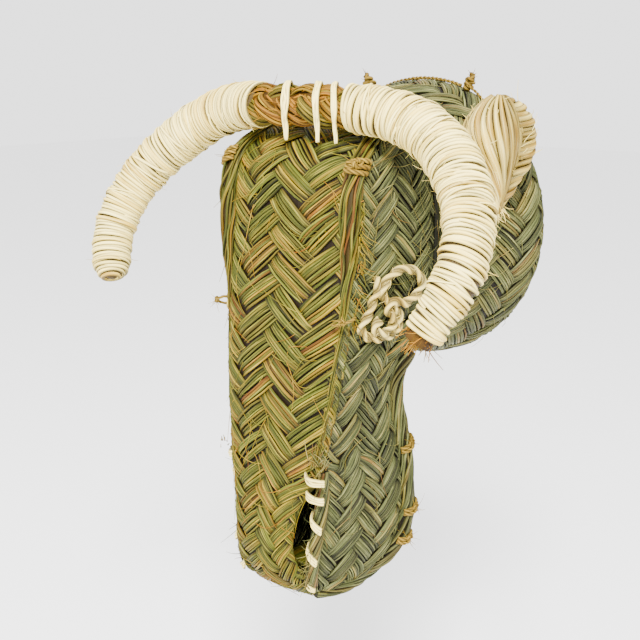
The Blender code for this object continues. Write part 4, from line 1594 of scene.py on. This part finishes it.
def seam_ties(side: Side) -> None:
    """Ties twine round the front and rear rolls of one side.

    Args:
        side: The side.
    """
    for number, z in enumerate(ROLL_TIES_Z, 1):
        front = RIDGE[PER_POINT:CHEEK_ROWS]
        centre, step = at_height(front, z)
        row = np.interp(-z, -front[:, 2], np.arange(PER_POINT, CHEEK_ROWS))
        Tie(f"brow_tie_{side.word}_{number}", side.place(centre), side.place(step),
            side.place((1.0, -1.0, 0.0)), float(roll_radius(row)), 5 - 2 * number,
            1.35 if number == 1 else 0.8).build()
    for number, z in enumerate(SEAM_TIES_Z, 1):
        centre, step = at_height(BACK, z)
        Tie(f"seam_tie_{side.word}_{number}", side.place(centre), side.place(step),
            side.place((1.0, 0.35, 0.0)), SEAM_R, 2, 1.15).build()


def wall_cord() -> None:
    """Makes the wall cord's stretch along the top of the rim, and its two knots."""
    angles = np.linspace(math.radians(114), math.radians(72), 70)
    out = np.stack((np.cos(angles), np.zeros(70), np.sin(angles)), -1)
    route = (RIM_R + GAP + TWINE_R) * out + WALL_CORD_OUT * FORWARD
    piece = Piece("wall_twine", Slot.TWINE, ("hanging_twine",))
    cord(piece, route, out, TWINE_R * 1.1, 0.007, 2, 0.5, 0.5)
    piece.build()
    wall_knot("left", 69.0, 0.013, 0.8)
    wall_knot("right", 118.0, 0.018, 1.0)


def wall_knot(word: str, degrees: float, height: float, bulk: float) -> None:
    """Makes one knot of the wall cord: a coil round a stem, a tail and frayed ends.

    Args:
        word: Which knot.
        degrees: Angle of its place on the rim, from +X towards +Z.
        height: How far it stands off the rim.
        bulk: Factor on its thickness.
    """
    angle = math.radians(degrees)
    axis = np.array((math.cos(angle), 0.0, math.sin(angle)))
    flat = np.array((-math.sin(angle), 0.0, math.cos(angle)))
    base = RIM_R * axis + WALL_CORD_OUT * FORWARD
    piece = Piece(f"wall_knot_{word}", Slot.TWINE, (f"hanging_knot_{word}",))
    t = np.linspace(0.0, 1.0, 90)
    turn = TAU * 2.6 * t
    round_out = 0.0021 * bulk * (1.0 + 0.4 * np.sin(math.pi * t))
    path = (base + (height * (0.10 + 0.62 * t))[:, None] * axis
            + round_out[:, None] * spin(turn, flat, FORWARD))
    cord(piece, path, axis, 0.0025 * bulk, 0.010, 2, 0.45, 0.55)
    stem = base + (height * np.linspace(-0.05, 0.95, 14))[:, None] * axis
    cord(piece, stem, flat, 0.0030 * bulk, 0.012, 2, 0.40, 0.6)
    tail = base + 0.3 * height * axis + np.linspace(0.0, 1.0, 20)[:, None] * (
        0.020 * bulk * flat * (-1.0 if word == "left" else 1.0)) - (
        0.004 * np.linspace(0.0, 1.0, 20) ** 2)[:, None] * axis
    cord(piece, tail + 0.003 * FORWARD, axis, 0.0011, 0.006, 2, 0.5, 0.55)
    dice = dice_for("knot" + word)
    aims = unit(axis + 0.5 * jitter(dice, 14, 3))
    hairs(piece, base + dice.uniform(0.6, 0.95, (14, 1)) * height * axis, aims, 0.004,
          "knot hair" + word, 0.00035, 0.6)
    piece.build()


# ---------------------------------------------------------------- shaders
class Value:
    """A shader socket that takes part in sums and products like a number."""

    def __init__(self, graph: "Graph", socket: bpy.types.NodeSocket) -> None:
        """Wraps an output socket of a graph."""
        self.graph = graph
        self.socket = socket

    def maths(self, kind: str, first, second, clamp: bool = False) -> "Value":
        """A math node of two inputs."""
        return self.graph.node("ShaderNodeMath", {"operation": kind, "use_clamp": clamp},
                               {0: first, 1: second})

    def __add__(self, other) -> "Value":
        """Sum."""
        return self.maths("ADD", self, other)

    def __sub__(self, other) -> "Value":
        """Difference."""
        return self.maths("SUBTRACT", self, other)

    def __rsub__(self, other) -> "Value":
        """Difference, with a number in front."""
        return self.maths("SUBTRACT", other, self)

    def __mul__(self, other) -> "Value":
        """Product."""
        return self.maths("MULTIPLY", self, other)

    def __pow__(self, other) -> "Value":
        """Power."""
        return self.maths("POWER", self, other)

    __radd__ = __add__
    __rmul__ = __mul__

    def clamp(self) -> "Value":
        """The value held between 0 and 1."""
        return self.maths("ADD", self, 0.0, clamp=True)


class Graph:
    """Node tree of one material, built by expressions."""

    def __init__(self, name: str) -> None:
        """Starts a material with only its Principled shader."""
        self.made = bpy.data.materials.new(name)
        self.made.use_nodes = True
        self.tree = self.made.node_tree
        self.shader = self.tree.nodes["Principled BSDF"]

    def node(self, kind: str, settings: dict, inputs: dict, output=0) -> Value:
        """Adds a node.

        Args:
            kind: Node type.
            settings: Properties, set first.
            inputs: Values or links by socket name or number.
            output: Socket wanted.

        Returns:
            The output, wrapped.
        """
        made = self.tree.nodes.new(kind)
        for name, value in settings.items():
            setattr(made, name, value)
        for name, value in inputs.items():
            self.plug(made.inputs[name], value)
        return Value(self, made.outputs[output])

    def plug(self, socket: bpy.types.NodeSocket, value) -> None:
        """Links a wrapped output to a socket, or sets its constant.

        Args:
            socket: Input socket.
            value: Wrapped output, number or colour.
        """
        if isinstance(value, Value):
            self.tree.links.new(value.socket, socket)
        else:
            socket.default_value = value

    def mix(self, factor, first, second) -> Value:
        """Colour between two colours."""
        return self.node("ShaderNodeMix", {"data_type": "RGBA"},
                         {0: factor, 6: first, 7: second}, 2)

    def noise(self, vector: Value, scale: tuple) -> Value:
        """Noise of a coordinate.

        Args:
            vector: The coordinate.
            scale: Factor on each axis.

        Returns:
            The noise, 0 to 1.
        """
        long = self.node("ShaderNodeVectorMath", {"operation": "MULTIPLY"},
                         {0: vector, 1: scale})
        return self.node("ShaderNodeTexNoise", {},
                         {"Vector": long, "Scale": 1.0, "Detail": 2.0})


# How often the fibre relief, the streaks and the patches repeat, for each metre round and
# along a strand and for each step from strand to strand.
FINE = (2600.0, 55.0, 5.0)
BROAD = (300.0, 22.0, 7.0)
PATCHY = (40.0, 60.0, 3.0)
SPECULAR = 0.12


def rgb(red: float, green: float, blue: float) -> tuple[float, float, float, float]:
    """A display colour as the linear colour that shaders take."""
    return (*(v / 12.92 if v <= 0.04045 else ((v + 0.055) / 1.055) ** 2.4
              for v in (red, green, blue)), 1.0)


@dataclass(frozen=True)
class Finish:
    """Finish of a stranded material.

    Attributes:
        name: Material name.
        young: Colour of the greenest or palest strands.
        dry: Colour of drier strands.
        old: Colour of the driest strands.
        pale: Colour of light streaks.
        dark: Colour in the depth between strands.
        roughness: Average roughness.
        streaks: Strength of the light streaks.
        bump: Height of the fibre relief.
        dark: Colour that low lightness runs to: painted shade between and under strands, and darker
            blades.
        groove: Painted shade at the strands' edges, where they meet their neighbours.
    """

    name: str
    young: tuple
    dry: tuple
    old: tuple
    pale: tuple
    dark: tuple
    roughness: float = 0.6
    streaks: float = 0.35
    bump: float = 0.00025
    groove: float = 0.75

    def material(self) -> bpy.types.Material:
        """The finish as a material, made once.

        The hue picks between the young, dry and old colours. Lightness is the product of
        the strand's shade, painted shade by its depth under others, the fine noise and painted
        shade at its edges.

        Returns:
            The material.
        """
        found = bpy.data.materials.get(self.name)
        if found:
            return found
        graph = Graph(self.name)
        looks = graph.node("ShaderNodeAttribute", {"attribute_name": "looks"}, {}, "Color")
        edge = graph.node("ShaderNodeAttribute", {"attribute_name": "looks"}, {}, "Alpha")
        tone, shade, depth = (graph.node("ShaderNodeSeparateColor", {}, {0: looks}, i)
                              for i in range(3))
        fibre = graph.node("ShaderNodeAttribute", {"attribute_name": "fibre"}, {}, "Vector")
        fine, broad, patchy = (graph.noise(fibre, scale) for scale in (FINE, BROAD, PATCHY))
        hue = tone + 0.55 * (broad - 0.5) + 0.30 * (patchy - 0.5)
        colour = graph.mix((2.3 * hue - 0.75).clamp(), self.young, self.dry)
        colour = graph.mix((3.2 * hue - 2.2).clamp(), colour, self.old)
        colour = graph.mix((self.streaks * (4.0 * fine - 2.0)).clamp(), colour, self.pale)
        # Painted shade: lightness falls at the strands' edges and where strands lie under others.
        groove = 1.0 - self.groove * edge**2.0
        light = (0.22 + 1.12 * shade) * (0.12 + 0.88 * depth) * (0.50 + 0.9 * fine) * groove
        colour = graph.mix(light.clamp(), self.dark, colour)
        graph.plug(graph.shader.inputs["Base Color"], colour)
        rough = (self.roughness + 0.25 * (broad - 0.5)).clamp()
        graph.plug(graph.shader.inputs["Roughness"], rough)
        relief = graph.node("ShaderNodeBump", {}, {
            "Strength": 0.8, "Distance": self.bump, "Height": fine + 0.6 * broad})
        graph.plug(graph.shader.inputs["Normal"], relief)
        graph.shader.inputs["Specular IOR Level"].default_value = SPECULAR
        return graph.made


# The fifth colour of each finish is its dark one, the colour of painted shade between and under
# strands.
FINISHES = {
    Slot.FACE: Finish("face_grass", rgb(0.29, 0.31, 0.06), rgb(0.51, 0.41, 0.05),
                      rgb(0.46, 0.26, 0.03), rgb(0.88, 0.78, 0.34), rgb(0.015, 0.009, 0.002)),
    Slot.CHEEK: Finish("cheek_grass", rgb(0.27, 0.29, 0.14), rgb(0.41, 0.37, 0.14),
                       rgb(0.37, 0.24, 0.09), rgb(0.84, 0.81, 0.52), rgb(0.015, 0.01, 0.004)),
    Slot.BAR: Finish("bar_grass", rgb(0.36, 0.32, 0.03), rgb(0.62, 0.41, 0.03),
                     rgb(0.42, 0.24, 0.01), rgb(0.90, 0.75, 0.24), rgb(0.03, 0.015, 0.003)),
    Slot.RAFFIA: Finish("raffia_strip", rgb(0.97, 0.88, 0.50), rgb(0.88, 0.75, 0.32),
                        rgb(0.64, 0.50, 0.15), rgb(1.0, 0.97, 0.72), rgb(0.12, 0.06, 0.01),
                        roughness=0.5, streaks=0.5, bump=0.0004, groove=0.93),
    Slot.TWINE: Finish("grass_twine", rgb(0.58, 0.47, 0.15), rgb(0.50, 0.38, 0.09),
                       rgb(0.36, 0.25, 0.06), rgb(0.80, 0.68, 0.32), rgb(0.04, 0.02, 0.006),
                       roughness=0.7, streaks=0.3, bump=0.0003, groove=0.7),
}


# ---------------------------------------------------------------- studio
@dataclass(frozen=True)
class Studio:
    """Floor, lights and camera.

    Attributes:
        azimuth: Direction of the camera round the head.
        elevation: Its height angle.
        target: Point that it looks at.
        distance: Distance from that point.
        lens: Focal length for a 36 mm sensor.
        floor_z: Height of the floor.
        floor_white: Reflectance of the floor.
        sky: Strength of the pale surroundings.
        lights: Name, place, size and power of each soft light.
    """

    azimuth: float = math.radians(40.0)
    elevation: float = math.radians(13.0)
    target: tuple[float, float, float] = (-0.013, -0.110, -0.063)
    distance: float = 0.800
    lens: float = 64.3
    floor_z: float = -0.46
    floor_white: float = 0.92
    sky: float = 2.5
    lights: tuple = (("key", (0.9, -1.3, 1.3), 0.55, 180.0), ("fill", (-1.3, -1.0, 0.5), 1.4, 12.0))

    def area(self, name: str, place: tuple, size: float, power: float) -> None:
        """Makes a square soft light aimed at the head.

        Args:
            name: Object name.
            place: Its location.
            size: Length of its side.
            power: Power in watts.
        """
        data = bpy.data.lights.new(name, "AREA")
        data.size = size
        data.energy = power
        item = bpy.data.objects.new(name, data)
        bpy.context.scene.collection.objects.link(item)
        item.location = place
        aim = Vector(self.target) - Vector(place)
        item.rotation_euler = aim.to_track_quat("-Z", "Y").to_euler()

    def build(self) -> None:
        """Makes the floor, the lights, the pale surroundings and the camera."""
        bpy.ops.mesh.primitive_plane_add(size=12.0, location=(0.0, 0.0, self.floor_z))
        floor = bpy.context.object
        floor.name = "floor"
        graph = Graph("floor_white")
        graph.shader.inputs["Base Color"].default_value = (*[self.floor_white] * 3, 1.0)
        graph.shader.inputs["Roughness"].default_value = 0.9
        floor.data.materials.append(graph.made)
        world = bpy.data.worlds.new("studio")
        bpy.context.scene.world = world
        world.use_nodes = True
        sky = world.node_tree.nodes["Background"]
        sky.inputs["Color"].default_value = (1.0, 1.0, 1.0, 1.0)
        sky.inputs["Strength"].default_value = self.sky
        for light in self.lights:
            self.area(*light)
        a, e = self.azimuth, self.elevation
        view = Vector((-math.sin(a) * math.cos(e), math.cos(a) * math.cos(e), -math.sin(e)))
        data = bpy.data.cameras.new("camera")
        data.lens = self.lens
        data.sensor_width = 36.0
        data.clip_start = 0.02
        item = bpy.data.objects.new("camera", data)
        bpy.context.scene.collection.objects.link(item)
        item.location = Vector(self.target) - self.distance * view
        item.rotation_euler = view.to_track_quat("-Z", "Y").to_euler()
        bpy.context.scene.camera = item


def main() -> None:
    """Builds every piece over the frame, then the studio."""
    logging.basicConfig(level=logging.INFO, format="%(name)s: %(message)s")
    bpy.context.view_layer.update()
    FaceBand().build()
    ThroatBand().build()
    NeckBand().build()
    collar_ring()
    chin_fold()
    braided_bar()
    wall_cord()
    for number, x in enumerate(BAR_STITCH_X, 1):
        BarStitch(number, x).build()
    for side in Side:
        CheekBand(side).build()
        HeadRolls(side).build()
        Mouth(side).build()
        HornWrap(side, *WRAP_WINDING[side]).build()
        Ear(side).build()
        Eye(side).build()
        seam_ties(side)
    Studio().build()


if __name__ == "__main__":
    main()
